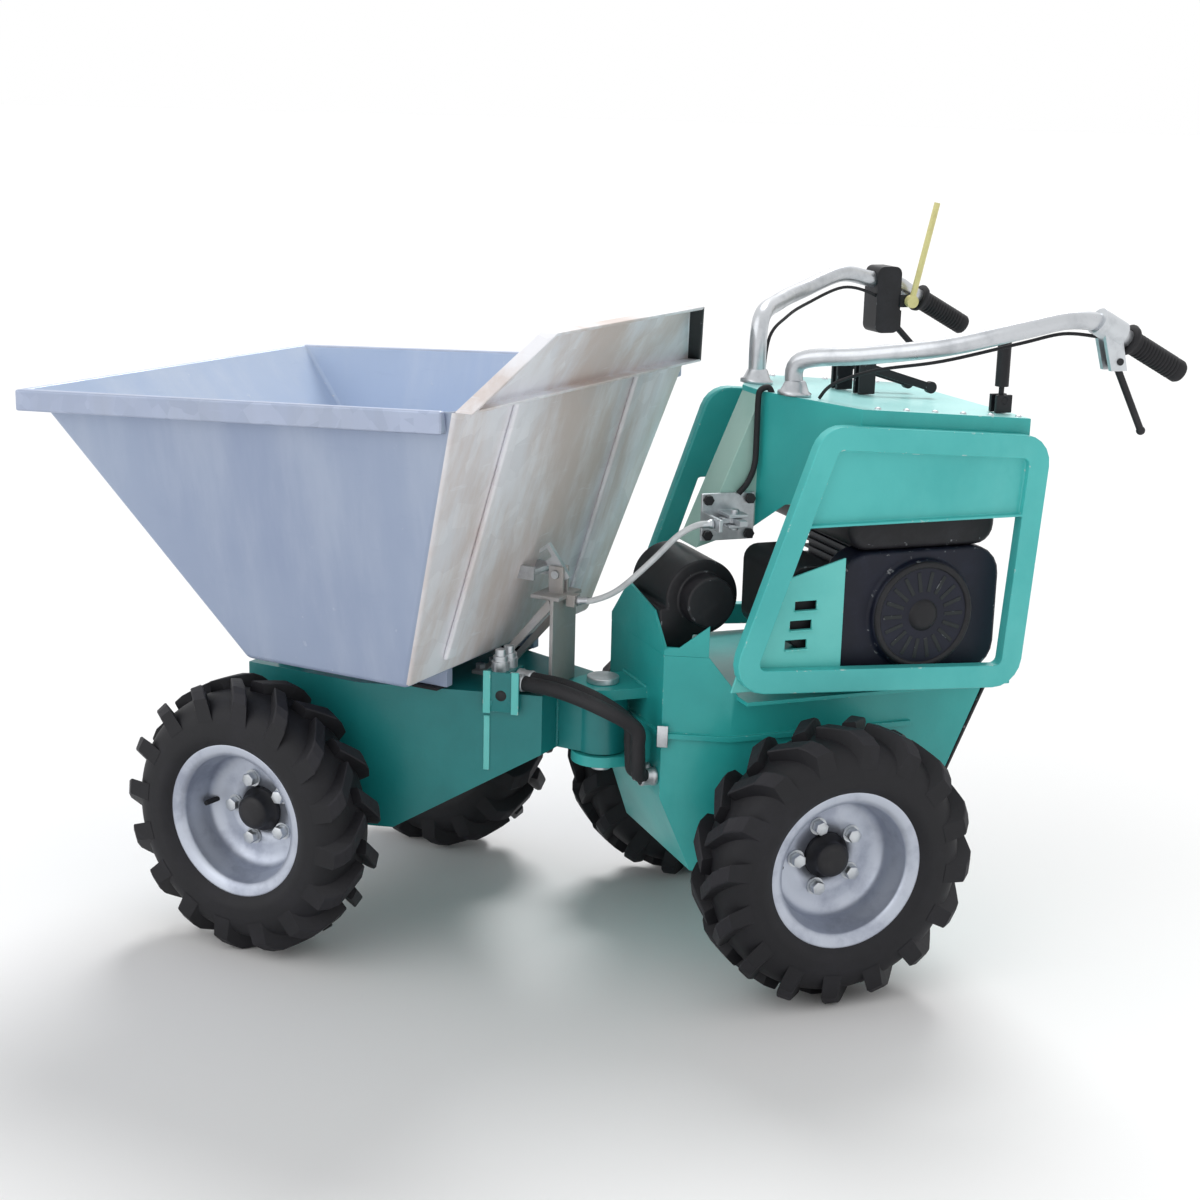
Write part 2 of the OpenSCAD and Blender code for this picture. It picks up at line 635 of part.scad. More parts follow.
module cowl_form(grow) {
  intersection() {
    slab(inset(cowl_side, grow), grow - tower_half, tower_half - grow);
    plan(inset(cowl_plan, grow), cowl_nose[1], console_z);
  }
}
module tower_cowl() color(teal) rear_unit() difference() {
  cowl_form(0);
  cowl_form(sheet);
  translate([0, 0, -2*sheet]) cowl_form(sheet);
  plan(cowl_well, cowl_nose[1], cowl_hem + sheet);
}

// Side guards: a rounded loop with a recessed panel above and the engine window below
guard_loop = [[-320, 424], [155, 450], [20, 826], [-347, 798]];
guard_round = 44;
guard_panel_z = 682;
guard_y = tower_half + still;
module guard_cut(y0, low, high) {
  intersection() {
    slab(rounded(inset(guard_loop, guard_bar), guard_round - guard_bar), y0, tower_half + 2*guard_t);
    translate([2*cowl_back, 0, low]) cube([-4*cowl_back, 2*tower_half, high - low]);
  }
}
module side_guard() {
  difference() {
    slab(rounded(guard_loop, guard_round), guard_y, guard_y + guard_t);
    guard_cut(0, 0, guard_panel_z);
    guard_cut(guard_y + guard_t/2, guard_panel_z + sheet, console_z);
  }
}
module left_guard() color(teal) rear_unit() side_guard();
module right_guard() color(teal) rear_unit() mirror([0, 1, 0]) side_guard();

// Louvred panel behind the front corner of the left window
louvre_x = -33;
louvre_low = 446;
louvre_high = 632;
louvre_t = 4;
slot_len = 34;
slot_h = 13;
slot_pitch = 28;
slot_z = 560;
slot_x = 10;
louvre_outline = [[louvre_x, louvre_low], [guard_loop[1][0] - guard_bar/2, louvre_low],
  [guard_loop[1][0] - 2*guard_bar, louvre_high - guard_bar], [louvre_x, louvre_high]];
module louvre_panel() color(teal) rear_unit() difference() {
  slab(louvre_outline, tower_half - louvre_t, tower_half);
  for (i = [0:2]) translate([slot_x + i*slot_h/2, tower_half - 2*louvre_t, slot_z - i*slot_pitch])
    cube([slot_len, 3*louvre_t, slot_h]);
}

// Engine: crankcase and finned cylinder, blower housing with recoil dome, tank, air cleaner and silencer
case_x = [-252, -70];
case_in = [105, 77];
case_y = [case_in[0] - tower_half, tower_half - case_in[1]];
case_h = 130;
case_round = 26;
fin_count = 6;
fin_t = 5;
fin_pitch = 12;
fin_round = 18;
head_x = [-236, -92];
module box_outline(x, z0, z1, r, y) {
  slab(rounded([[x[0], z0], [x[1], z0], [x[1], z1], [x[0], z1]], r), y[0], y[1]);
}
module engine_block() color(black) rear_unit() {
  base = engine_deck_z + still;
  box_outline(case_x, base, base + case_h, case_round, case_y);
  box_outline(head_x + [fin_t, -fin_t], base + case_h - over, base + case_h + fin_count*fin_pitch,
    fin_round - fin_t, case_y + [4*fin_t, -4*fin_t]);
  for (i = [0:fin_count - 1])
    translate([head_x[0], case_y[0] + 3*fin_t, base + case_h + (i + 1)*fin_pitch - fin_t])
      cube([head_x[1] - head_x[0], case_y[1] - case_y[0] - 6*fin_t, fin_t]);
}
head_top = engine_deck_z + case_h + fin_count*fin_pitch;
blower_x = [-299, -38];
blower_lift = 12;
blower_z = [engine_deck_z + blower_lift, head_top];
blower_in = 21;
blower_y = [case_y[1] + still, tower_half - blower_in];
blower_round = 44;
recoil_r = 82;
recoil_h = 12;
module blower_housing() color(black) rear_unit() {
  box_outline(blower_x, blower_z[0], blower_z[1], blower_round, blower_y);
  across([(blower_x[0] + blower_x[1])/2, (blower_z[0] + blower_z[1])/2], 2*recoil_r, blower_y[1] - over,
    blower_y[1] + recoil_h);
}
tank_x = [-290, -52];
tank_in = [35, 25];
tank_y = [tank_in[0] - tower_half, tower_half - tank_in[1]];
tank_h = 109;
tank_z = [head_top + 2*still, head_top + tank_h];
tank_round = 30;
tank_cap = [-150, 60, 22];
module fuel_tank() color(black) rear_unit() {
  box_outline(tank_x, tank_z[0], tank_z[1], tank_round, tank_y);
  translate([tank_cap[0], tank_cap[1], tank_z[1] - over]) cylinder(h = tank_cap[2] + over, r = tank_cap[2]);
}
cleaner_x = [-37, 46];
cleaner_in = [175, 13];
cleaner_y = [tower_half - cleaner_in[0], tower_half - cleaner_in[1]];
cleaner_z = [500, 620];
cleaner_round = 22;
cleaner_duct = 30;
module air_cleaner() color(black) rear_unit() {
  box_outline(cleaner_x, cleaner_z[0], cleaner_z[1], cleaner_round, cleaner_y);
  translate([case_x[1] + still, cleaner_y[0] + cleaner_round, cleaner_z[0] + cleaner_round/2])
    cube([cleaner_x[0] - case_x[1] + cleaner_round, cleaner_duct, cleaner_duct]);
}
muffler_x = [-232, -58];
muffler_in = 27;
muffler_y = [muffler_in - tower_half, case_y[0] - still];
muffler_z = [470, 552];
muffler_round = 30;
tail_pipe_d = 26;
module muffler() color("#55565a") rear_unit() {
  box_outline(muffler_x, muffler_z[0], muffler_z[1], muffler_round, muffler_y);
  across([muffler_x[0] + muffler_round, (muffler_z[0] + muffler_z[1])/2], tail_pipe_d,
    muffler_y[0] - tail_pipe_d, muffler_y[0] + over);
}
// Oil pump on the front box of the rear frame, with its filter
pump_at = [138, 558];
pump_d = 112;
pump_y = [-62, 74];
pump_foot = 60;
filter_d = 74;
filter_len = 34;
module oil_pump() color(black) rear_unit() {
  across(pump_at, pump_d, pump_y[0], pump_y[1]);
  across(pump_at, filter_d, pump_y[1] - over, pump_y[1] + filter_len);
  translate([rear_box_back[0] + still, pump_y[0], rear_box_z + still])
    cube([rear_front - rear_box_back[0] - plate, pump_y[1] - pump_y[0], pump_foot]);
}

// Cradle of plate round the pump: a peaked front and a plate along each tapered side of the box
cradle_t = 4;
cradle_low = rear_box_z + still;
cradle_rise = 12;
cradle_peak = [[61, 56], [-40, 75]];
cradle_front = [[-rear_front_half, cradle_low], [rear_front_half, cradle_low],
  [rear_front_half, cradle_low + cradle_rise], cradle_peak[0] + [0, rear_box_z],
  cradle_peak[1] + [0, rear_box_z], [-rear_front_half, cradle_low + cradle_rise]];
cradle_len = 64;
cradle_top = 46;
cradle_turn = atan2(rear_half - rear_front_half, rear_front - rear_taper_x);
cradle_side = [[0, cradle_low], [0, cradle_low + cradle_rise], [-cradle_len/3, cradle_low + cradle_rise],
  [-cradle_len, cradle_low + cradle_top], [-cradle_len, cradle_low]];
module pump_cradle() color(teal) rear_unit() {
  rotate([90, 0, 90]) translate([0, 0, rear_front - cradle_t]) linear_extrude(cradle_t) polygon(cradle_front);
  both_sides() translate([rear_front, rear_front_half, 0]) rotate([0, 0, -cradle_turn])
    slab(cradle_side, -cradle_t, 0);
}

// Bell crank of the tip release, on a zinc bracket on the left face of the spine
crank_at = [86, 668];
crank_base = [84, 5, 70];
crank_ear = [30, 38, 5];
crank_ear_gap = 10;
crank_pin = [12, 28];
crank_t = 8;
crank_hub_share = 1.8;
crank_arm = 34;
crank_short = 22;
crank_tab = [6, 66, 18];
module on_crank() {
  rear_unit() translate([crank_at[0], spine_half, crank_at[1]]) children();
}
module crank_bracket() color(zinc) on_crank() difference() {
  union() {
    translate([-crank_base[0]/2, still, -crank_base[2]/2]) cube(crank_base);
    for (z = [-crank_ear_gap/2 - crank_ear[2], crank_ear_gap/2])
      translate([-crank_ear[0]/2, crank_base[1], z]) cube(crank_ear);
    translate([crank_base[0]/2 - crank_tab[0], crank_base[1] - over, -crank_tab[2]/2]) cube(crank_tab);
  }
  translate([0, crank_pin[1], -crank_base[2]]) cylinder(h = 2*crank_base[2], d = crank_pin[0] + 2*run);
}
module bell_crank() color(zinc) on_crank() translate([0, crank_pin[1], 0]) {
  translate([0, 0, -crank_ear_gap/2 - 2*crank_ear[2]])
    cylinder(h = crank_ear_gap + 4*crank_ear[2], d = crank_pin[0]);
  translate([0, 0, -crank_t/2]) {
    cylinder(h = crank_t, d = crank_hub_share*crank_pin[0]);
    translate([0, -crank_pin[0]/2, 0]) cube([crank_short, crank_pin[0], crank_t]);
    translate([-crank_pin[0]/2, 0, 0]) cube([crank_pin[0], crank_arm, crank_t]);
  }
}

// Handlebars: two swept tubes that stand on feet on the console
bar_root = [2, 64];
bar_rise = 50;
bar_lean = 6;
bar_shoulder = [-70, 150, 914];
bar_reach = [-150, 226, 934];
bar_crest = [-240, 276, 962];
bar_bow = [-300, 288, 975];
bar_neck = [-352, 291, 970];
grip_dir = way([bar_neck[0], bar_neck[1], bar_neck[2]], [-grip_back, grip_half, grip_z]);
grip_len = 118;
grip_end = [-grip_back, grip_half, grip_z];
bar_foot_d = 54;
bar_foot_h = 8;
bar_sides = 14;
bar_steps = 4;
bar_line = [[bar_root[0], bar_root[1], console_at(bar_root[0]) + bar_foot_h],
  [bar_root[0] - bar_lean, bar_root[1] + bar_lean, console_at(bar_root[0]) + bar_rise],
  bar_shoulder, bar_reach, bar_crest, bar_bow, bar_neck, grip_end - grip_len*grip_dir];
// The right bar stands higher over the console than the left one and comes down to it at the control block
right_lift = 44;
lift_shares = [0, 1, 1, 0.8, 0.6, 0.1, 0, 0];
function bar_route(lift) = concat(smooth([for (i = [0:len(bar_line) - 1])
  bar_line[i] + [0, 0, lift*lift_shares[i]]], bar_steps), [grip_end - bar_d*grip_dir]);
module bar(lift) {
  tube(bar_route(lift), bar_d, bar_sides);
  translate([bar_root[0], bar_root[1], console_at(bar_root[0]) + still]) rotate([0, -atan(console_slope), 0])
    cylinder(h = bar_foot_h + bar_d/2, d = bar_foot_d - bar_d/2);
}
module handlebars() color(tube_grey) rear_unit() {
  bar(0);
  mirror([0, 1, 0]) bar(right_lift);
}
module hand_grips() color(black) rear_unit() both_sides() {
  rod(grip_end - (grip_len - bar_d/2)*grip_dir, grip_end, grip_d);
  rod(grip_end - (grip_len - bar_d/2)*grip_dir, grip_end - (grip_len - bar_d)*grip_dir, grip_d + bar_d/2);
}
// Left lever in a clamp on the bar, hanging under the grip
lever_pivot = [-378, 918];
lever_tip = [-432, 818];
lever_t = 12;
lever_d = 13;
hub_share = 1.6;
stem_share = 0.8;
tip_share = 1.5;
lever_pin_d = 10;
clamp_len = 34;
clamp_wall = 6;
clamp_ear = 7;
bar_end_y = bar_neck[1];
module lever_clamp() color(zinc) rear_unit() difference() {
  union() {
    rod(bar_neck - clamp_len/4*grip_dir, bar_neck + clamp_len*grip_dir, bar_d + 2*clamp_wall);
    for (side = [-1, 1]) slab([lever_pivot + [-lever_d, -lever_d], lever_pivot + [lever_d, -lever_d],
      [bar_neck[0] + lever_d/2, bar_neck[2]], [bar_neck[0] - 2*lever_d, bar_neck[2] - lever_d]],
      bar_end_y + side*(lever_t/2 + still + clamp_ear/2) - clamp_ear/2,
      bar_end_y + side*(lever_t/2 + still + clamp_ear/2) + clamp_ear/2);
  }
  across(lever_pivot, lever_pin_d + 2*run, 0, 2*bar_end_y);
  translate([lever_pivot[0] - 2*lever_d, bar_end_y - lever_t/2 - still, lever_pivot[1] - 2*lever_d])
    cube([4*lever_d, lever_t + 2*still, 3*lever_d + lever_d/2]);
}
module left_lever() color(black) rear_unit() {
  pin_half = lever_t/2 + clamp_ear + over;
  across(lever_pivot, lever_pin_d, bar_end_y - pin_half, bar_end_y + pin_half);
  across(lever_pivot, hub_share*lever_d, bar_end_y - lever_t/2, bar_end_y + lever_t/2);
  rod([lever_pivot[0], bar_end_y, lever_pivot[1]], [lever_tip[0], bar_end_y, lever_tip[1]],
    stem_share*lever_d);
  translate([lever_tip[0], bar_end_y, lever_tip[1]]) sphere(d = lever_d);
}
// Control block on the right bar, with a finger lever below and the dead-man lever beside the grip
block_x = [-350, -306];
block_y = [-314, -270];
block_z = [892, 1000];
block_round = 12;
finger_pivot = [-344, 912];
finger_tip = [-392, 866];
deadman_pivot = [-366, 944];
deadman_top = [-402, 1103];
deadman_y = -262;
deadman_d = 10;
block_ear = 8;
module control_block() color(black) rear_unit() difference() {
  union() {
    box_outline(block_x, block_z[0], block_z[1], block_round, block_y);
    slab([[block_x[0] + over, deadman_pivot[1] - deadman_d],
      [block_x[0] + over, deadman_pivot[1] + deadman_d],
      deadman_pivot + [-deadman_d, deadman_d], deadman_pivot + [-deadman_d, -deadman_d]],
      deadman_y - deadman_d/2 - still - block_ear, deadman_y - deadman_d/2 - still);
    for (side = [-1, 1]) slab([finger_pivot + [-lever_d, -lever_d], finger_pivot + [lever_d, -lever_d],
      [finger_pivot[0] + lever_d, block_z[0] + block_round],
      [finger_pivot[0] - lever_d, block_z[0] + 3*block_round]],
      -bar_end_y + side*(lever_t/2 + still + clamp_ear/2) - clamp_ear/2,
      -bar_end_y + side*(lever_t/2 + still + clamp_ear/2) + clamp_ear/2);
  }
  across(finger_pivot, lever_pin_d + 2*run, -2*bar_end_y, deadman_y - deadman_d);
  across(deadman_pivot, lever_pin_d + 2*run, -2*bar_end_y, 0);
  translate([block_x[0] - 4*lever_d, -bar_end_y - lever_t/2 - still, finger_pivot[1] - 4*lever_d])
    cube([finger_pivot[0] - block_x[0] + 5*lever_d, lever_t + 2*still, 5*lever_d + over]);
}
module right_lever() color(black) rear_unit() {
  across(finger_pivot, lever_pin_d, -bar_end_y - lever_t/2 - clamp_ear, -bar_end_y + lever_t/2 + clamp_ear);
  across(finger_pivot, hub_share*lever_d, -bar_end_y - lever_t/2, -bar_end_y + lever_t/2);
  rod([finger_pivot[0], -bar_end_y, finger_pivot[1]], [finger_tip[0], -bar_end_y, finger_tip[1]],
    stem_share*lever_d);
  translate([finger_tip[0], -bar_end_y, finger_tip[1]]) sphere(d = lever_d);
}
module deadman_lever() color(yellow) rear_unit() {
  across(deadman_pivot, lever_pin_d, deadman_y - deadman_d/2 - still - block_ear, deadman_y + deadman_d/2);
  across(deadman_pivot, hub_share*lever_d, deadman_y - deadman_d/2, deadman_y + deadman_d/2);
  rod([deadman_pivot[0], deadman_y, deadman_pivot[1]], [deadman_top[0], deadman_y, deadman_top[1]],
    deadman_d);
}

// Console levers on pedestals: drive, throttle and tip release
drive_at = [-296, 138];
drive_len = 92;
drive_d = 20;
drive_stem_d = 10;
pedestal = [26, 6];
pedestal_top = 7;
throttle_at = [-131, -45];
tip_at = [-143, 4];
flat_len = 124;
flat_w = 12;
flat_t = 9;
lever_dip = 17;
drive_h = 19;
lever_h = 42;
module pedestal_at(p, h) {
  difference() {
    for (side = [-1, 1]) translate([p[0] - pedestal[0]/2,
      p[1] + side*(flat_t/2 + still + pedestal[1]/2) - pedestal[1]/2,
      console_at(p[0] + pedestal[0]/2) + still]) cube([pedestal[0], pedestal[1], h + pedestal_top]);
    across([p[0], console_at(p[0]) + h], lever_pin_d + 2*run, p[1] - 2*flat_len, p[1] + 2*flat_len);
  }
}
module lever_pedestals() color(black) rear_unit() {
  pedestal_at(throttle_at, lever_h);
  pedestal_at(tip_at, lever_h);
  pedestal_at(drive_at, drive_h);
}
module lever_hub(p, h) {
  pin_half = flat_t/2 + pedestal[1];
  across([p[0], console_at(p[0]) + h], lever_pin_d, p[1] - pin_half, p[1] + pin_half);
  across([p[0], console_at(p[0]) + h], hub_share*lever_pin_d, p[1] - flat_t/2, p[1] + flat_t/2);
}
module flat_lever(p) {
  lever_hub(p, lever_h);
  translate([p[0], p[1], console_at(p[0]) + lever_h]) rotate([0, -lever_dip, 0]) {
    translate([-flat_len + flat_w/2, over/2 - flat_t/2, -flat_w/2])
      cube([flat_len - flat_w/2, flat_t - over, flat_w]);
    across([-flat_len + flat_w/2, 0], tip_share*flat_w, -flat_t/2, flat_t/2);
  }
}
module throttle_lever() color(black) rear_unit() flat_lever(throttle_at);
module tip_lever() color(black) rear_unit() flat_lever(tip_at);
module drive_lever() color(black) rear_unit() {
  lever_hub(drive_at, drive_h);
  translate([drive_at[0], drive_at[1], console_at(drive_at[0]) + drive_h]) {
    cylinder(h = drive_len - drive_d, d = drive_stem_d - over);
    translate([0, 0, drive_d]) cylinder(h = drive_len - drive_d - drive_d/2, d = drive_d);
    translate([0, 0, drive_len - drive_d/2]) sphere(d = drive_d);
  }
}
module rear_bolts() color(black) {
  rear_unit() both_sides() translate([0, 0, tyre_r]) motor_bolts(rear_half);
  for (x = [-1, 1]) for (z = [-1, 1]) on_crank()
    translate([x*(crank_base[0]/2 - bolt_inset), crank_base[1] + 2*still, z*(crank_base[2]/2 - bolt_inset)])
      rotate([-90, 0, 0]) bolt_head();
}

// Drive hoses from the deck round the left of the kingpin, and the release cable from the bell crank
hose_d = 22;
hose_sides = 10;
hose_steps = 4;
hose_routes = [
  [[-340.5, 58, 424], [-372, 58, 424], [-432, 66, 424], [-486, 66, 410], [-518, 45, 380], [-520, 39, 350],
    [-519.8, 35.5, 324], [-518.6, 27.8, 306], [-523.2, 13.3, 298], [-531.8, 3.5, 298]],
  [[-340.5, 82, 424], [-372, 82, 424], [-432, 91, 424], [-497, 90, 410], [-536.1, 60.7, 380],
    [-538.1, 54.7, 350], [-537.9, 51.2, 324], [-536.7, 43.5, 306], [-541.3, 29, 298], [-549.9, 19.2, 298]]];
module drive_hoses() color(black) front_unit() for (route = hose_routes)
  tube(smooth(route, hose_steps), hose_d, hose_sides);
cable_d = 9;
cable_sides = 8;
cable_route = [[-404.5, 0, 537], [-430, 0, 541], [-470, -2, 562], [-520, -6, 610], [-556, -14, 650],
  [-580, -28, 667], [-596.2, -46.4, 668]];
module release_cable() color("#d5d8da") front_unit()
  tube(smooth(cable_route, hose_steps), cable_d, cable_sides);

front_frame();
front_wheel_motors();
kingpin_bush();
tip_bearers();
tip_pins();
latch_stand();
hopper_buffers();
front_bolts();
hopper_shell();
hopper_rim();
splash_plate();
hopper_ribs();
hinge_runners();
latch_keeper();
latch_hook();
front_left_tyre();
front_left_rim();
front_left_hub();
front_right_tyre();
front_right_rim();
front_right_hub();
rear_left_tyre();
rear_left_rim();
rear_left_hub();
rear_right_tyre();
rear_right_rim();
rear_right_hub();
rear_frame();
kingpin();
rear_wheel_motors();
tower_cowl();
left_guard();
right_guard();
louvre_panel();
engine_block();
blower_housing();
fuel_tank();
air_cleaner();
muffler();
oil_pump();
pump_cradle();
crank_bracket();
tail_plate();
handlebars();
hand_grips();
lever_clamp();
control_block();
lever_pedestals();
rear_bolts();
left_lever();
right_lever();
deadman_lever();
drive_lever();
throttle_lever();
tip_lever();
bell_crank();
drive_hoses();
release_cable();
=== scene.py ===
import json
import math

import bmesh
import bpy
from mathutils import Matrix, Vector


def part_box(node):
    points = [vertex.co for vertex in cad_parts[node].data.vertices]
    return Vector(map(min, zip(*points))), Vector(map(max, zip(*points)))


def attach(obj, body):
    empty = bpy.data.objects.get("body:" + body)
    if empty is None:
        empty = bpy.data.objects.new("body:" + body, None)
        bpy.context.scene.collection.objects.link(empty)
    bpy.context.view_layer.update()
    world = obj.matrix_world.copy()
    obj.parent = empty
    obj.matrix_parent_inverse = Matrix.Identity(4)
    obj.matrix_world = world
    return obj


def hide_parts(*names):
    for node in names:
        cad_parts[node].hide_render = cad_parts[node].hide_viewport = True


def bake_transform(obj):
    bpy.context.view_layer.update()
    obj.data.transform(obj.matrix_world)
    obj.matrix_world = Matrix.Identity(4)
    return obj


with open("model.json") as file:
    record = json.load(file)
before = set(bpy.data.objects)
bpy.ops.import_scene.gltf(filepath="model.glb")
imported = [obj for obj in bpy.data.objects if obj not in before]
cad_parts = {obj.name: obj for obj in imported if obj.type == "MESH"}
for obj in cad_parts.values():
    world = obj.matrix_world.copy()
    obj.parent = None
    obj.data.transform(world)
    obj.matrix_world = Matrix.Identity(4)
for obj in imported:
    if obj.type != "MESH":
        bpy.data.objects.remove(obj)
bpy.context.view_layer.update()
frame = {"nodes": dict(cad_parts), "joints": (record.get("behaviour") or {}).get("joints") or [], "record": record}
joints = {joint["name"]: joint for joint in frame["joints"]}
bodyOf = {node: body for body, nodes in frame["record"]["behaviour"]["bodies"].items() for node in nodes}
scene = bpy.context.scene
mm = 0.001
print("frame loaded:", len(frame["nodes"]), "nodes")


def pivotOf(joint):
    return Vector(joints[joint]["pos_m"])


# Ground frames under the two axles, taken from the wheel joints: x forward, y left, z up
def axleFrame(end):
    left, right = pivotOf(end + "_left_spin"), pivotOf(end + "_right_spin")
    side = (left - right).normalized()
    turn = math.atan2(-side.x, side.y)
    middle = (left + right) / 2
    return Matrix.Translation((middle.x, middle.y, 0)) @ Matrix.Rotation(turn, 4, "Z")


frontGround = axleFrame("front")
rearGround = axleFrame("rear")
tyreLow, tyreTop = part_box("front_left_tyre")
tyreRadius = (tyreTop.z - tyreLow.z) / 2
tyreHalf = (tyreTop.y - tyreLow.y) / 2


# Node trees: one socket class for the maths, one method for every other node
class Sock:
    def __init__(self, graph, link):
        self.graph = graph
        self.link = link

    def maths(self, operation, first, second):
        return self.graph.node("ShaderNodeMath", {"operation": operation}, {0: first, 1: second})

    def __add__(self, other):
        return self.maths("ADD", self, other)

    def __radd__(self, other):
        return self.maths("ADD", other, self)

    def __sub__(self, other):
        return self.maths("SUBTRACT", self, other)

    def __rsub__(self, other):
        return self.maths("SUBTRACT", other, self)

    def __mul__(self, other):
        return self.maths("MULTIPLY", self, other)

    def __rmul__(self, other):
        return self.maths("MULTIPLY", other, self)

    def __truediv__(self, other):
        return self.maths("DIVIDE", self, other)

    def __rtruediv__(self, other):
        return self.maths("DIVIDE", other, self)

    def above(self, edge, soft):
        return self.graph.node(
            "ShaderNodeMapRange",
            {"interpolation_type": "SMOOTHSTEP"},
            {0: self, 1: edge - soft, 2: edge + soft, 3: 0.0, 4: 1.0},
        )


class Graph:
    def __init__(self, tree):
        self.tree = tree

    def node(self, kind, settings=None, sockets=None, output=0):
        made = self.tree.nodes.new(kind)
        for key, value in (settings or {}).items():
            setattr(made, key, value)
        for key, value in (sockets or {}).items():
            if isinstance(value, Sock):
                self.tree.links.new(value.link, made.inputs[key])
            else:
                made.inputs[key].default_value = value
        return Sock(self, made.outputs[output])

    def copyShape(self, source):
        settings = {"transform_space": "ORIGINAL"}
        return self.node("GeometryNodeObjectInfo", settings, {"Object": source}, output="Geometry")


# A screen colour of 0 to 255 as the linear colour that a socket takes
def linear(colour):
    shares = [value / 255 for value in colour]
    return (*(v / 12.92 if v <= 0.04045 else ((v + 0.055) / 1.055) ** 2.4 for v in shares), 1.0)


class Finish(Graph):
    def __init__(self, name):
        self.material = bpy.data.materials.new(name)
        self.material.use_nodes = True
        super().__init__(self.material.node_tree)
        self.shader = self.tree.nodes["Principled BSDF"]
        self.place = self.node("ShaderNodeTexCoord", output="Object")

    def noise(self, scale, detail=4.0, rough=0.55, stretch=None):
        place = self.place
        if stretch:
            place = self.node("ShaderNodeMapping", None, {"Vector": place, "Scale": stretch})
        sockets = {"Vector": place, "Scale": scale, "Detail": detail, "Roughness": rough}
        return self.node("ShaderNodeTexNoise", None, sockets)

    # The mark that rounded edges carry
    def wear(self, weight):
        return self.node("ShaderNodeAttribute", {"attribute_name": "edgeWear"}, output="Fac") * weight

    def mix(self, share, first, second):
        return self.node("ShaderNodeMix", {"data_type": "RGBA"}, {0: share, 6: first, 7: second}, output=2)

    def bump(self, height, strength, distance):
        sockets = {"Height": height, "Strength": strength, "Distance": distance}
        return self.node("ShaderNodeBump", None, sockets)

    def set(self, **values):
        for key, value in values.items():
            socket = self.shader.inputs[key.replace("_", " ")]
            if isinstance(value, Sock):
                self.tree.links.new(value.link, socket)
            else:
                socket.default_value = value
        return self.material


# Finishes, named for what they are on the machine or for the light painted into them; each takes its screen
# colours first
def enamel(name, *tones):
    f = Finish(name)
    colour, deep, bright, primer = map(linear, tones)
    cloud = f.noise(5.0, 5.0)
    grime = f.noise(16.0, 8.0, 0.7)
    chips = (f.noise(70.0, 6.0, 0.6) + f.wear(0.17)).above(0.80, 0.02)
    dust = f.noise(3.0, 6.0, 0.65, (1, 1, 0.6)).above(0.60, 0.14)
    base = f.mix(cloud.above(0.5, 0.2), colour, deep)
    base = f.mix(dust * 0.35, base, bright)
    base = f.mix(grime.above(0.66, 0.08) * 0.3, base, deep)
    base = f.mix(chips, base, primer)
    peel = f.noise(220.0, 2.0)
    height = peel * 0.25 + f.noise(9.0, 3.0) * 1.0 - chips * 0.8
    return f.set(
        Base_Color=base, Roughness=0.32 + grime * 0.16 + chips * 0.3, Metallic=chips * 0.2,
        Normal=f.bump(height, 0.16, 0.004), Coat_Weight=0.12, Coat_Roughness=0.14,
    )


def zincSheet(name, *tones, streak=1.0, spangle=34.0, rough=0.42, metal=0.62):
    f = Finish(name)
    colour, dark, stain = map(linear, tones)
    sockets = {"Vector": f.place, "Scale": spangle}
    cells = f.node("ShaderNodeTexVoronoi", {"feature": "F1"}, sockets, output="Color")
    flake = f.node("ShaderNodeSeparateColor", None, {"Color": cells})
    runs = f.noise(7.0, 7.0, 0.62, (1.0, 1.0, 0.13))
    blotch = f.noise(4.0, 6.0, 0.6)
    scratch = f.noise(30.0, 3.0, 0.7, (0.3, 0.3, 3.0))
    base = f.mix(flake * 0.35, colour, dark)
    base = f.mix(runs.above(0.52, 0.13) * streak, base, stain)
    base = f.mix(blotch.above(0.62, 0.12) * 0.45 * streak, base, dark)
    base = f.mix(scratch.above(0.68, 0.05) * 0.35, base, colour)
    return f.set(
        Base_Color=base, Roughness=rough + flake * 0.12 + runs * 0.18 * streak,
        Metallic=metal - runs.above(0.52, 0.13) * metal / 2 * streak,
        Normal=f.bump(blotch * 0.8 + scratch * 0.2, 0.15, 0.003),
    )


def hopperPaint(name, *tones):
    f = Finish(name)
    colour, deep, pale, bare = map(linear, tones)
    cloud = f.noise(2.2, 5.0)
    runs = f.noise(9.0, 7.0, 0.6, (1.0, 1.0, 0.1))
    scuff = f.noise(24.0, 5.0, 0.65, (0.35, 0.35, 2.2))
    splash = f.noise(46.0, 3.0, 0.5).above(0.72, 0.02) * f.noise(3.1, 3.0).above(0.5, 0.1)
    chips = (f.noise(60.0, 6.0, 0.6) + f.wear(0.17)).above(0.80, 0.03)
    base = f.mix(cloud.above(0.5, 0.25), colour, deep)
    base = f.mix(runs.above(0.58, 0.14) * 0.4, base, pale)
    base = f.mix(scuff.above(0.66, 0.07) * 0.28, base, deep)
    base = f.mix(splash * 0.55, base, pale)
    base = f.mix(chips, base, bare)
    height = f.noise(5.0, 2.0) * 1.2 + splash * 0.4 - chips * 0.4 + scuff * 0.1
    return f.set(
        Base_Color=base, Roughness=0.40 + runs * 0.14 + splash * 0.2 - chips * 0.05,
        Metallic=chips * 0.6, Normal=f.bump(height, 0.14, 0.006),
    )


def rubberSkin(name, *tones, rough, grain, dust):
    f = Finish(name)
    colour, dusty = map(linear, tones)
    fine = f.noise(grain, 3.0)
    patch = f.noise(9.0, 7.0, 0.65)
    base = f.mix((patch + f.wear(0.16)).above(0.58, 0.14) * dust, colour, dusty)
    return f.set(
        Base_Color=base, Roughness=rough + patch * 0.18, Specular_IOR_Level=0.42,
        Normal=f.bump(fine * 0.3 + patch * 0.5, 0.2, 0.002),
    )


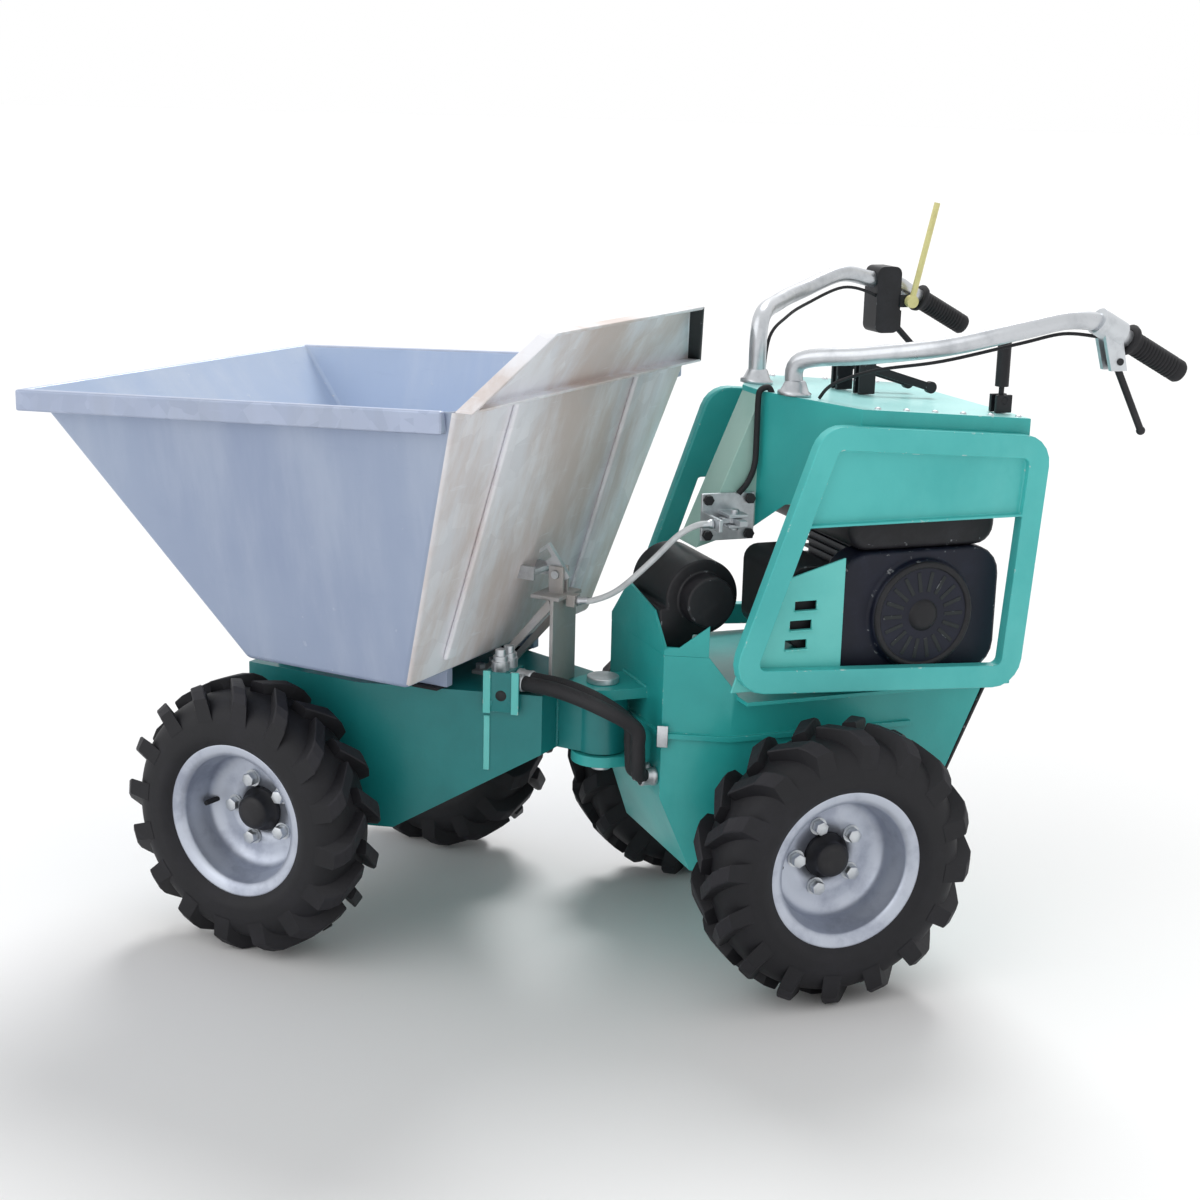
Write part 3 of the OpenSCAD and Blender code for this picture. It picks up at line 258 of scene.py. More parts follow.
def castBlack(name, *tones, rough, bare=(120, 122, 126)):
    f = Finish(name)
    colour, dusty = map(linear, tones)
    patch = f.noise(12.0, 6.0, 0.65)
    pebble = f.noise(420.0, 2.0)
    worn = (f.noise(80.0, 5.0) + f.wear(0.15)).above(0.80, 0.03)
    base = f.mix(patch.above(0.6, 0.12) * 0.35, colour, dusty)
    base = f.mix(worn, base, linear(bare))
    return f.set(
        Base_Color=base, Roughness=rough + patch * 0.2, Metallic=worn * 0.5, Specular_IOR_Level=0.34,
        Normal=f.bump(pebble * 0.3 + patch * 0.4, 0.14, 0.002),
    )


def brightMetal(name, *tones, rough, scale):
    f = Finish(name)
    colour, dark = map(linear, tones)
    patch = f.noise(scale * 0.3, 6.0, 0.65)
    grain = f.noise(scale * 6, 2.0, 0.6, (0.2, 0.2, 1.0))
    base = f.mix(patch.above(0.56, 0.14) * 0.6, colour, dark)
    return f.set(
        Base_Color=base, Metallic=0.85, Roughness=rough + patch * 0.22,
        Normal=f.bump(grain * 0.3 + patch, 0.1, 0.001),
    )


def plainPaint(name, *tones, rough):
    f = Finish(name)
    colour, dark = map(linear, tones)
    patch = f.noise(26.0, 6.0, 0.6)
    base = f.mix(patch.above(0.58, 0.12) * 0.45, colour, dark)
    return f.set(Base_Color=base, Roughness=rough + patch * 0.2, Normal=f.bump(patch, 0.1, 0.001))


def braidedHose(name, *tones):
    f = Finish(name)
    colour, thread = map(linear, tones)
    weave = f.node(
        "ShaderNodeTexWave", {"wave_type": "BANDS", "bands_direction": "DIAGONAL"},
        {"Vector": f.place, "Scale": 190.0, "Distortion": 1.0},
    )
    patch = f.noise(20.0, 5.0)
    base = f.mix(weave.above(0.72, 0.2) * 0.4, colour, thread)
    height = weave * 0.6 + patch * 0.4
    return f.set(Base_Color=base, Roughness=0.55 + patch * 0.2, Normal=f.bump(height, 0.3, 0.001))


tealPaint = enamel("tealPaint", (46, 176, 172), (32, 158, 156), (90, 202, 198), (150, 200, 196))
tealMid = enamel("tealMid", (80, 196, 193), (62, 180, 178), (118, 214, 210), (170, 210, 206))
tealDeep = enamel("tealDeep", (14, 128, 128), (8, 112, 114), (46, 150, 150), (110, 170, 168))
tealLight = enamel("tealLight", (104, 208, 202), (84, 192, 188), (144, 224, 218), (190, 218, 212))
motorPaint = enamel("motorPaint", (34, 96, 96), (24, 74, 76), (70, 120, 118), (150, 156, 154))
spinePale = enamel("spinePale", (170, 206, 196), (150, 190, 180), (196, 218, 210), (206, 216, 212))
# A paler copy of the cowl paint for the console top: a painted highlight
consoleHighlight = enamel("consoleHighlight", (170, 232, 230), (150, 218, 217), (196, 238, 236), (210, 224, 220))
galvanised = zincSheet("galvanised", (190, 192, 196), (150, 153, 160), (166, 158, 150), streak=0.7)
rearSheet = zincSheet(
    "rearSheet", (246, 247, 252), (208, 207, 212), (212, 199, 193),
    streak=0.95, spangle=26.0, rough=0.5, metal=0.16)
rimSheet = zincSheet(
    "rimSheet", (170, 180, 202), (146, 157, 180), (156, 163, 176),
    streak=0.4, spangle=44.0, rough=0.38)
hopperGrey = hopperPaint("hopperGrey", (156, 170, 194), (142, 156, 184), (184, 194, 210), (206, 208, 212))
# A lighter copy of the hopper paint for the inside faces: painted light falling in from above
hopperLitInside = hopperPaint("hopperLitInside", (190, 206, 230), (172, 190, 216), (214, 222, 234), (220, 222, 226))
tyreRubber = rubberSkin("tyreRubber", (13, 13, 19), (42, 41, 48), rough=0.56, grain=260.0, dust=0.4)
blackRubber = rubberSkin("blackRubber", (24, 24, 28), (56, 55, 58), rough=0.62, grain=320.0, dust=0.35)
wheelSilver = brightMetal("wheelSilver", (190, 196, 208), (140, 146, 164), rough=0.34, scale=50.0)
zincPlate = brightMetal("zincPlate", (206, 210, 214), (160, 164, 168), rough=0.28, scale=80.0)
bronzeMetal = brightMetal("bronzeMetal", (182, 138, 84), (134, 98, 58), rough=0.34, scale=80.0)
exhaustSteel = brightMetal("exhaustSteel", (104, 92, 84), (66, 52, 44), rough=0.55, scale=40.0)
tubeGrey = brightMetal("tubeGrey", (200, 203, 207), (158, 162, 167), rough=0.2, scale=70.0)
engineBlack = castBlack("engineBlack", (15, 19, 36), (40, 44, 64), rough=0.40)
plasticBlack = castBlack("plasticBlack", (26, 26, 30), (58, 58, 64), rough=0.42)
blackPaint = castBlack("blackPaint", (28, 28, 32), (66, 64, 66), rough=0.34)
# This flat dark finish also serves as painted shade on the right flange, in the plate hole and in the muffler
# slots
darkLine = castBlack("darkLine", (38, 42, 44), (64, 68, 70), rough=0.5)
yellowPaint = plainPaint("yellowPaint", (226, 216, 150), (196, 182, 116), rough=0.38)
cableSheath = plainPaint("cableSheath", (212, 216, 218), (168, 172, 176), rough=0.42)
hoseSkin = braidedHose("hoseSkin", (22, 22, 26), (54, 54, 58))
print("finishes made")


def linkPiece(name, mesh, *finishes):
    mesh.materials.clear()
    for finish in finishes:
        mesh.materials.append(finish)
    piece = bpy.data.objects.new(name, mesh)
    scene.collection.objects.link(piece)
    return piece


# A piece on one body; accents are (finish, test) pairs for the faces that have another finish
def addPiece(name, mesh, finish, nodes, body=None, accents=()):
    piece = linkPiece(name, mesh, finish, *(accent for accent, test in accents))
    for k, (accent, test) in enumerate(accents, 1):
        for polygon in mesh.polygons:
            if test(polygon):
                polygon.material_index = k
    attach(piece, body or bodyOf[nodes[0]])
    if nodes:
        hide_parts(*nodes)


def toMesh(bm, name, place=None):
    if place:
        bmesh.ops.transform(bm, matrix=place, verts=bm.verts)
    mesh = bpy.data.meshes.new(name)
    bm.to_mesh(mesh)
    bm.free()
    return mesh


# Flat faces keep flat shading beside rounded edges; a sheet first gets its wall, in millimetres, inwards
def evenNormals(mesh, wall=0):
    holder = bpy.data.objects.new("holder", mesh)
    scene.collection.objects.link(holder)
    if wall:
        sheet = holder.modifiers.new("wall", "SOLIDIFY")
        sheet.thickness, sheet.offset, sheet.use_even_offset = wall * mm, -1, True
    holder.modifiers.new("even", "WEIGHTED_NORMAL").weight = 80
    made = bpy.data.meshes.new_from_object(holder.evaluated_get(bpy.context.evaluated_depsgraph_get()))
    bpy.data.objects.remove(holder)
    return made


def shadeSmooth(bm):
    for face in bm.faces:
        face.smooth = True


def wearLayer(bm):
    return bm.loops.layers.float.new("edgeWear")


def markWorn(faces, layer, amount=1.0):
    for face in faces:
        for loop in face.loops:
            loop[layer] = amount


edgeRule = {"segments": 3, "sharp": 28, "merge": 0.02, "flat": 0.5}  # merge in millimetres, angles in degrees


# Rounds the sharp edges of a mesh and marks the rounded faces for wear
def roundEdges(bm, width, segments=edgeRule["segments"], sharp=edgeRule["sharp"]):
    worn = wearLayer(bm)
    edges = [e for e in bm.edges if e.is_manifold and e.calc_face_angle(0.0) > math.radians(sharp)]
    made = bmesh.ops.bevel(
        bm, geom=edges, offset=width * mm, offset_type="OFFSET", segments=segments, profile=0.5,
        affect="EDGES", clamp_overlap=True,
    )
    markWorn(made["faces"], worn)
    shadeSmooth(bm)


# A merged copy of a CAD node with softened edges, standing for that node
def softened(node, width, finish, accents=()):
    bm = bmesh.new()
    bm.from_mesh(frame["nodes"][node].data)
    bmesh.ops.remove_doubles(bm, verts=bm.verts, dist=edgeRule["merge"] * mm)
    bmesh.ops.dissolve_limit(
        bm, angle_limit=math.radians(edgeRule["flat"]), verts=bm.verts, edges=bm.edges)
    bmesh.ops.connect_verts_concave(bm, faces=bm.faces)
    roundEdges(bm, width)
    first, *others = node.split("_")
    name = first + "".join(word.capitalize() for word in others)
    addPiece(name, evenNormals(toMesh(bm, node)), finish, [node], accents=accents)


# A profile of (radius, along) turned about the y axis
def lathe(profile, steps, name, place=None):
    bm = bmesh.new()
    rings = []
    for i in range(steps):
        c, s = math.cos(math.tau * i / steps), math.sin(math.tau * i / steps)
        rings.append([bm.verts.new((r * c * mm, y * mm, r * s * mm)) for r, y in profile])
    for i in range(steps):
        here, there = rings[i], rings[(i + 1) % steps]
        for k in range(len(profile) - 1):
            bm.faces.new((here[k], there[k], there[k + 1], here[k + 1]))
    bmesh.ops.remove_doubles(bm, verts=bm.verts, dist=edgeRule["merge"] / 2 * mm)
    bmesh.ops.recalc_face_normals(bm, faces=bm.faces)
    shadeSmooth(bm)
    return toMesh(bm, name, place)


# A smooth line through all the points
def spline(points, steps):
    found = []
    points = [Vector(p) for p in points]
    for i in range(len(points) - 1):
        a, b = points[max(i - 1, 0)], points[i]
        c, d = points[i + 1], points[min(i + 2, len(points) - 1)]
        for s in range(steps):
            t = s / steps
            found.append(0.5 * (2 * b + (c - a) * t + (2 * a - 5 * b + 4 * c - d) * t**2
                                + (3 * b - a - 3 * c + d) * t**3))
    return found + [points[-1]]


# Geometry trees: copies round the y axis, copies in a row, and a tube along a curve
def geometryTree(name, inputs):
    tree = bpy.data.node_groups.new(name, "GeometryNodeTree")
    tree.interface.new_socket("Geometry", in_out="INPUT", socket_type="NodeSocketGeometry")
    for label, kind in inputs:
        tree.interface.new_socket(label, in_out="INPUT", socket_type="NodeSocket" + kind)
    tree.interface.new_socket("Geometry", in_out="OUTPUT", socket_type="NodeSocketGeometry")
    graph = Graph(tree)
    source = tree.nodes.new("NodeGroupInput")
    given = {socket.name: Sock(graph, socket) for socket in source.outputs if socket.name}
    return tree, graph, given


def closeTree(graph, shape, finish):
    real = graph.node("GeometryNodeRealizeInstances", None, {0: shape})
    painted = graph.node("GeometryNodeSetMaterial", None, {"Geometry": real, "Material": finish})
    sink = graph.tree.nodes.new("NodeGroupOutput")
    graph.tree.links.new(painted.link, sink.inputs[0])


def ringTree():
    tree, g, given = geometryTree("ringOfCopies", [
        ("Copy", "Object"), ("Count", "Int"), ("Phase", "Float"), ("Finish", "Material")])
    points = g.node("GeometryNodePoints", None, {"Count": given["Count"]})
    step = g.node("GeometryNodeInputIndex") * math.tau / given["Count"] + given["Phase"]
    turn = g.node("ShaderNodeCombineXYZ", None, {"Y": step})
    sockets = {"Points": points, "Instance": g.copyShape(given["Copy"]), "Rotation": turn}
    closeTree(g, g.node("GeometryNodeInstanceOnPoints", None, sockets), given["Finish"])
    return tree


def rowTree():
    tree, g, given = geometryTree("rowOfCopies", [
        ("Copy", "Object"), ("Count", "Int"), ("Step", "Vector"), ("Finish", "Material")])
    line = g.node("GeometryNodeMeshLine", None, {"Count": given["Count"], "Offset": given["Step"]})
    sockets = {"Points": line, "Instance": g.copyShape(given["Copy"])}
    closeTree(g, g.node("GeometryNodeInstanceOnPoints", None, sockets), given["Finish"])
    return tree


def tubeTree():
    tree, g, given = geometryTree("tubeOnPath", [
        ("Radius", "Float"), ("Sides", "Int"), ("Finish", "Material")])
    sockets = {"Resolution": given["Sides"], "Radius": given["Radius"]}
    circle = g.node("GeometryNodeCurvePrimitiveCircle", None, sockets)
    sockets = {"Curve": given["Geometry"], "Profile Curve": circle, "Fill Caps": True}
    tube = g.node("GeometryNodeCurveToMesh", None, sockets)
    closeTree(g, g.node("GeometryNodeSetShadeSmooth", None, {0: tube}), given["Finish"])
    return tree


trees = {"ring": ringTree(), "row": rowTree(), "tube": tubeTree()}


# Runs a tree on a carrier object and returns the plain mesh that it makes
def grow(treeName, carrierData, values, place=None):
    carrier = bpy.data.objects.new("carrier", carrierData)
    scene.collection.objects.link(carrier)
    modifier = carrier.modifiers.new("grow", "NODES")
    modifier.node_group = trees[treeName]
    for item in trees[treeName].interface.items_tree:
        if item.in_out == "INPUT" and item.name in values:
            modifier[item.identifier] = values[item.name]
    bpy.context.view_layer.update()
    made = bpy.data.meshes.new_from_object(carrier.evaluated_get(bpy.context.evaluated_depsgraph_get()))
    carrier.modifiers.remove(modifier)
    bpy.data.objects.remove(carrier)
    if place:
        made.transform(place)
    return made


def copies(treeName, mesh, values, finish, place):
    shape = bpy.data.objects.new("pattern", mesh)
    scene.collection.objects.link(shape)
    made = grow(treeName, bpy.data.meshes.new(treeName), {**values, "Copy": shape, "Finish": finish}, place)
    bpy.data.objects.remove(shape)
    return made


def copiesRound(mesh, count, phase, finish, place=None):
    return copies("ring", mesh, {"Count": count, "Phase": phase}, finish, place)


# Step and start are in millimetres of a ground frame
def copiesInRow(mesh, count, step, finish, start, ground):
    values = {"Count": count, "Step": tuple(Vector(step) * mm)}
    return copies("row", mesh, values, finish, ground @ Matrix.Translation(Vector(start) * mm))


# A round tube through points in millimetres of a ground frame
def tubeMesh(points, diameter, finish, place, sides=28, steps=8):
    curve = bpy.data.curves.new("route", "CURVE")
    curve.dimensions = "3D"
    route = spline(points, steps)
    line = curve.splines.new("POLY")
    line.points.add(len(route) - 1)
    for point, at in zip(line.points, route):
        point.co = (*(at * mm), 1)
    return grow("tube", curve, {"Radius": diameter / 2 * mm, "Sides": sides, "Finish": finish}, place)


def joined(name, *meshes):
    bm = bmesh.new()
    for mesh in meshes:
        bm.from_mesh(mesh)
        bpy.data.meshes.remove(mesh)
    return toMesh(bm, name)


# Wheels: carcass turned from a rounded section, chevron lugs, deep-dish rim, hub cap, nuts and valve
wheel = {
    "beadRadius": 102, "carcassRadius": 190, "roundness": 2.5, "sectionPoints": 36, "turns": 112,
    "sectionStart": -70, "sectionSweep": 320, "sideIn": 1.6,
    "sideRings": [(131, 1.4, 3), (160, 0.9, 2.5)],  # radius, height, width
    "lugs": 16, "lugAngle": 43, "lugSections": 7, "lugStart": -1, "lugShort": 0.5, "lugUnder": 0.6,
    "lugHalves": (11, 8, 6.5),  # half widths at foot, edge and top
    "lugSink": 6, "lugLeast": 2, "lugEdge": 1.5, "lugFlare": 0.25,
    "shoulder": 40, "shoulderFall": 1.15, "crownFall": 0.4,
    "rimTurns": 96, "hubTurns": 64,
    "nuts": 5, "nutCircle": 96, "nutWide": 21, "nutHigh": 13, "nutEdge": 0.9, "nutSeat": -21.7,
    "washerWide": 26.04, "washerHigh": 2, "nutsFrom": 35.5,
    "valve": [(82, -20, 0), (84, 6, 0)], "valveWide": 8, "valveSides": 14,
    "rim": [(93, -43), (116, -44), (118, -42.5), (117, -40.5), (107, -38), (103, -36), (102, -22), (96, -14),
            (96, 12), (102, 20), (103, 36), (107, 38), (117, 40.5), (118.5, 42.5), (117.5, 44.6),
            (114, 44.4), (106, 42), (99, 39), (97.5, 34), (97, 22), (91.5, 13), (91, -6), (88, -14),
            (80, -19.5), (70, -21.5), (58, -22), (34.4, -22), (34.4, -30), (88, -30), (93, -26), (93, -43)],
    "hub": [(0, 6), (17, 6), (24, 3.5), (26, 0), (26.4, -14), (33, -16), (33.8, -18), (33.8, -30.2),
            (58.8, -30.2), (59, -32), (59, -37.6), (18, -38)],
}


def sectionPoint(angle):
    power = 2 / wheel["roundness"]
    low, high = wheel["beadRadius"], wheel["carcassRadius"]
    s, c = math.sin(angle), math.cos(angle)
    radius = (low + high) / 2 + (high - low) / 2 * math.copysign(abs(s) ** power, s)
    along = tyreHalf / mm * math.copysign(abs(c) ** power, c)
    rings = sum(rise * math.exp(-(((radius - at) / wide) ** 2)) for at, rise, wide in wheel["sideRings"])
    return radius, along + math.copysign(rings, along) - math.copysign(wheel["sideIn"], along)


def carcassRadiusAt(along):
    share = min(abs(along) / (tyreHalf / mm), 1.0)
    low, high = wheel["beadRadius"], wheel["carcassRadius"]
    return (low + high) / 2 + (high - low) / 2 * (1 - share ** wheel["roundness"]) ** (1 / wheel["roundness"])


# One lug lofted from the crown over the shoulder; side is 1 for the outer half
def lugMesh(side):
    bm = bmesh.new()
    worn = wearLayer(bm)
    rows = []
    top = tyreRadius / mm - wheel["lugUnder"]
    lean = math.radians(wheel["lugAngle"])
    for i in range(wheel["lugSections"]):
        t = i / (wheel["lugSections"] - 1)
        along = wheel["lugStart"] + t * (tyreHalf / mm - wheel["lugShort"])
        drop = max(0.0, along - wheel["shoulder"]) * wheel["shoulderFall"]
        high = top - drop - wheel["crownFall"] * t
        low = min(carcassRadiusAt(along), high - wheel["lugLeast"]) - wheel["lugSink"]
        middle = -(along - tyreHalf / mm / 2) * math.tan(lean)
        flare = 1 + wheel["lugFlare"] * t
        row = []
        for radius, half in zip((low, high - wheel["lugEdge"], high), wheel["lugHalves"]):
            for end in (-1, 1):
                angle = (middle + end * half * flare / math.cos(lean)) / top
                x, z = radius * math.cos(angle), -radius * math.sin(angle)
                row.append(bm.verts.new((x * mm, side * along * mm, z * mm)))
        rows.append([row[0], row[2], row[4], row[5], row[3], row[1]])
    corners = len(rows[0])
    for here, there in zip(rows, rows[1:]):
        strip = [bm.faces.new((here[k], here[(k + 1) % corners], there[(k + 1) % corners], there[k]))
                 for k in range(corners)]
        markWorn(strip[1:4], worn)
    bm.faces.new(rows[0])
    bm.faces.new(rows[-1])
    bmesh.ops.recalc_face_normals(bm, faces=bm.faces)
    return toMesh(bm, "lug")


# A nut on its washer, seated at the first place of the ring
def nutMesh():
    bm = bmesh.new()
    half, disc = wheel["nutWide"] / 2 * mm, wheel["washerWide"] / 2 * mm
    high, washer = wheel["nutHigh"] * mm, wheel["washerHigh"] * mm
    bmesh.ops.create_cone(bm, cap_ends=True, segments=6, radius1=half, radius2=half, depth=high)
    bmesh.ops.translate(bm, verts=bm.verts, vec=(0, 0, high / 2 + washer))
    roundEdges(bm, wheel["nutEdge"], segments=2, sharp=30)
    made = bmesh.ops.create_cone(bm, cap_ends=True, segments=20, radius1=disc, radius2=disc, depth=washer)
    bmesh.ops.translate(bm, verts=made["verts"], vec=(0, 0, washer / 2))
    seat = Matrix.Translation((wheel["nutCircle"] / 2 * mm, wheel["nutSeat"] * mm, 0))
    return toMesh(bm, "nut", seat @ Matrix.Rotation(math.radians(-90), 4, "X"))


def buildWheel(end, side):
    name = end + side.capitalize()
    tyreNode, rimNode, hubNode = (f"{end}_{side}_{part}" for part in ("tyre", "rim", "hub"))
    ground = frontGround if end == "front" else rearGround
    out = 1 if side == "left" else -1
    spin = pivotOf(f"{end}_{side}_spin")
    place = Matrix.Translation(spin) @ ground.to_3x3().to_4x4() @ Matrix.Diagonal((1, out, 1, 1))

    def onNuts(polygon):
        at = place.inverted() @ polygon.center / mm
        return math.hypot(at.x, at.z) > wheel["nutsFrom"]

    points = wheel["sectionPoints"]
    sweep = [wheel["sectionStart"] + wheel["sectionSweep"] * i / points for i in range(points + 1)]
    section = [sectionPoint(math.radians(angle)) for angle in sweep]
    lugs = [copiesRound(lugMesh(half), wheel["lugs"], phase, tyreRubber)
            for half, phase in ((1, 0.0), (-1, math.pi / wheel["lugs"]))]
    tyre = joined(name + "Tyre", lathe(section, wheel["turns"], "carcass"), *lugs)
    rim = lathe(wheel["rim"], wheel["rimTurns"], "rim")
    nuts = copiesRound(nutMesh(), wheel["nuts"], 0.0, zincPlate)
    hub = joined(name + "Hub", lathe(wheel["hub"], wheel["hubTurns"], "hub"), nuts)
    valve = tubeMesh(wheel["valve"], wheel["valveWide"], blackRubber, None, wheel["valveSides"], steps=2)
    for mesh in (tyre, rim, hub, valve):
        mesh.transform(place)
        if out < 0:
            mesh.flip_normals()
    addPiece(name + "Tyre", tyre, tyreRubber, [tyreNode])
    addPiece(name + "Rim", rim, wheelSilver, [rimNode])
    addPiece(name + "Hub", hub, blackPaint, [hubNode], accents=[(zincPlate, onNuts)])
    addPiece(name + "Valve", valve, blackRubber, [], bodyOf[rimNode])


for end in ("front", "rear"):
    for side in ("left", "right"):
        buildWheel(end, side)
print("wheels made")


# Hopper: folded sheet with round folds, wall thickness inside
hopper = {
    "floorBack": -281, "floorFront": 0, "floorHigh": 447, "floorHalf": 264, "lip": (333, 819),
    "back": (-403, 857), "topHalf": 341, "fold": 9, "foldSteps": 5, "foldWear": 0.7, "wall": 4,
    "rimOut": 12, "rimStart": -390.7, "rimTop": 3, "rimBottom": -28, "rimGap": 0.4, "rimEdge": 3.2,
    # The band across the right flange that is painted dark as shade
    "chamfer": (-0.64, 0.769), "flangeShadeBand": (-6.5, 1), "flangeBack": 6, "flangeLean": 0.64,
    "insideFacing": 0.05, "backFacing": -0.6,
}


def hopperHalf(z):
    rise = (z - hopper["floorHigh"]) / (hopper["back"][1] - hopper["floorHigh"])
    return hopper["floorHalf"] + (hopper["topHalf"] - hopper["floorHalf"]) * rise


def buildHopper():
    bm = bmesh.new()
    floor = hopper["floorHigh"]
    corners = [(hopper["floorBack"], floor), (hopper["floorFront"], floor), hopper["lip"], hopper["back"]]
    left, right = ([bm.verts.new((x * mm, end * hopperHalf(z) * mm, z * mm)) for x, z in corners]
                   for end in (1, -1))
    panels = [left, right[::-1]] + [
        [right[k], right[(k + 1) % 4], left[(k + 1) % 4], left[k]] for k in (0, 1, 3)]
    for panel in panels:
        bm.faces.new(panel)
    bmesh.ops.recalc_face_normals(bm, faces=bm.faces)
    if sum(face.normal.z for face in bm.faces) > 0:
        bmesh.ops.reverse_faces(bm, faces=bm.faces)
    worn = wearLayer(bm)
    folds = [edge for edge in bm.edges if len(edge.link_faces) == 2]
    made = bmesh.ops.bevel(
        bm, geom=folds, offset=hopper["fold"] * mm, offset_type="OFFSET", segments=hopper["foldSteps"],
        profile=0.5, affect="EDGES",
    )
    markWorn(made["faces"], worn, hopper["foldWear"])
    shadeSmooth(bm)

    def onInside(polygon):
        return polygon.normal.z > hopper["insideFacing"]

    def onBack(polygon):
        return polygon.normal.x < hopper["backFacing"] and polygon.normal.z < 0

    skin = evenNormals(toMesh(bm, "hopperShell", frontGround), hopper["wall"])
    # The inside faces take the lighter copy of the paint as painted light; the back takes the zinc sheet
    accents = [(hopperLitInside, onInside), (rearSheet, onBack)]
    addPiece("hopperShell", skin, hopperGrey, ["hopper_shell"], accents=accents)


# The folded rim runs from its left end round the lip to its right end
# Its inner lines follow the walls and its outer face is upright
def buildRim():
    (lipAt, lipHigh), (backAt, backHigh) = hopper["lip"], hopper["back"]
    slope = (backHigh - lipHigh) / (lipAt - backAt)
    lean = lipAt / (lipHigh - hopper["floorHigh"])

    def high(x, rise):
        return backHigh + rise - slope * (x - backAt)

    def line(rise, outer):
        front = lipAt + hopper["rimOut"]
        if not outer:
            front = (high(0, rise) - hopper["floorHigh"]) * lean / (1 + slope * lean) + hopper["rimGap"]
        found = []
        for x, end in ((hopper["rimStart"], 1), (front, 1), (front, -1), (hopper["rimStart"], -1)):
            half = hopper["topHalf"] + hopper["rimOut"]
            if not outer:
                half = hopperHalf(high(x, rise)) + hopper["rimGap"]
            found.append((x, end * half, high(x, rise)))
        return found

    bm = bmesh.new()
    top, bottom = hopper["rimTop"], hopper["rimBottom"]
    rows = [[bm.verts.new(Vector(point) * mm) for point in line(rise, outer)]
            for rise, outer in ((top, True), (bottom, True), (bottom, False), (top, False))]
    for k in range(4):
        here, there = rows[k], rows[(k + 1) % 4]
        for i in range(3):
            bm.faces.new((here[i], here[i + 1], there[i + 1], there[i]))
    for i in (0, 3):
        bm.faces.new([row[i] for row in rows])
    bmesh.ops.recalc_face_normals(bm, faces=bm.faces)
    roundEdges(bm, hopper["rimEdge"])
    addPiece("hopperRim", evenNormals(toMesh(bm, "hopperRim", frontGround)), rimSheet, ["hopper_rim"])


# Faces of the right chamfer's flange that take a dark finish as painted shade on the flange's inner face
def onRightFlange(polygon):
    at = frontGround.inverted() @ polygon.center / mm
    backAt, backHigh = hopper["back"]
    across, up = hopper["chamfer"]
    inside = (at.y + hopper["topHalf"]) * across + (at.z - backHigh) * up
    behind = backAt - hopper["flangeBack"] - hopper["flangeLean"] * (at.z - backHigh) - at.x
    return hopper["flangeShadeBand"][0] < inside < hopper["flangeShadeBand"][1] and behind > 0


buildHopper()
buildRim()
# The right flange's dark finish is painted shade on its inner face
softened("splash_plate", 1.6, rearSheet, accents=[(darkLine, onRightFlange)])
for node, width, finish in (
    ("hopper_ribs", 4.0, rearSheet), ("hinge_runners", 2.0, hopperGrey),
    ("latch_keeper", 1.2, zincPlate), ("latch_hook", 1.4, zincPlate),
):
    softened(node, width, finish)
print("hopper made")


# Front unit and rear unit: plate, castings and small parts, each with the width of its rounded edges
for node, width, finish in (
    ("front_frame", 3.0, tealDeep), ("front_wheel_motors", 2.0, motorPaint),
    ("kingpin_bush", 0.6, bronzeMetal), ("tip_bearers", 1.6, tealDeep), ("tip_pins", 1.2, zincPlate),
    ("latch_stand", 1.2, galvanised), ("hopper_buffers", 2.5, blackRubber), ("front_bolts", 0.8, zincPlate),
    ("rear_frame", 3.0, tealPaint), ("kingpin", 1.5, zincPlate), ("rear_wheel_motors", 2.0, motorPaint),
    ("left_guard", 5.0, tealMid), ("right_guard", 5.0, tealMid), ("louvre_panel", 1.0, tealLight),
    ("engine_block", 1.6, engineBlack), ("blower_housing", 9.0, engineBlack),
    ("fuel_tank", 14.0, plasticBlack), ("air_cleaner", 8.0, plasticBlack), ("muffler", 8.0, exhaustSteel),
    ("oil_pump", 6.0, blackPaint), ("pump_cradle", 1.0, tealPaint), ("crank_bracket", 1.2, zincPlate),
    ("tail_plate", 2.0, blackPaint), ("lever_clamp", 1.6, zincPlate), ("control_block", 3.0, plasticBlack),
    ("lever_pedestals", 1.6, blackPaint), ("rear_bolts", 0.8, blackPaint), ("left_lever", 1.4, blackPaint),
    ("right_lever", 1.4, blackPaint), ("deadman_lever", 1.5, yellowPaint), ("drive_lever", 1.6, plasticBlack),
    ("throttle_lever", 2.0, blackPaint), ("tip_lever", 2.0, blackPaint), ("bell_crank", 1.2, zincPlate),
):
    softened(node, width, finish)


# The tower cowl has a pale spine in front; the console's upward faces take a paler copy of the paint as a painted
# highlight
tower = {"spineFrom": 41, "spineHalf": 34, "consoleFrom": 810, "consoleLevel": 0.9}


def onSpine(polygon):
    at = rearGround.inverted() @ polygon.center / mm
    return at.x > tower["spineFrom"] and abs(at.y) < tower["spineHalf"]


def onConsole(polygon):
    return polygon.normal.z > tower["consoleLevel"] and polygon.center.z > tower["consoleFrom"] * mm


softened("tower_cowl", 1.6, tealPaint, accents=[(spinePale, onSpine), (consoleHighlight, onConsole)])
print("frames and housings made")


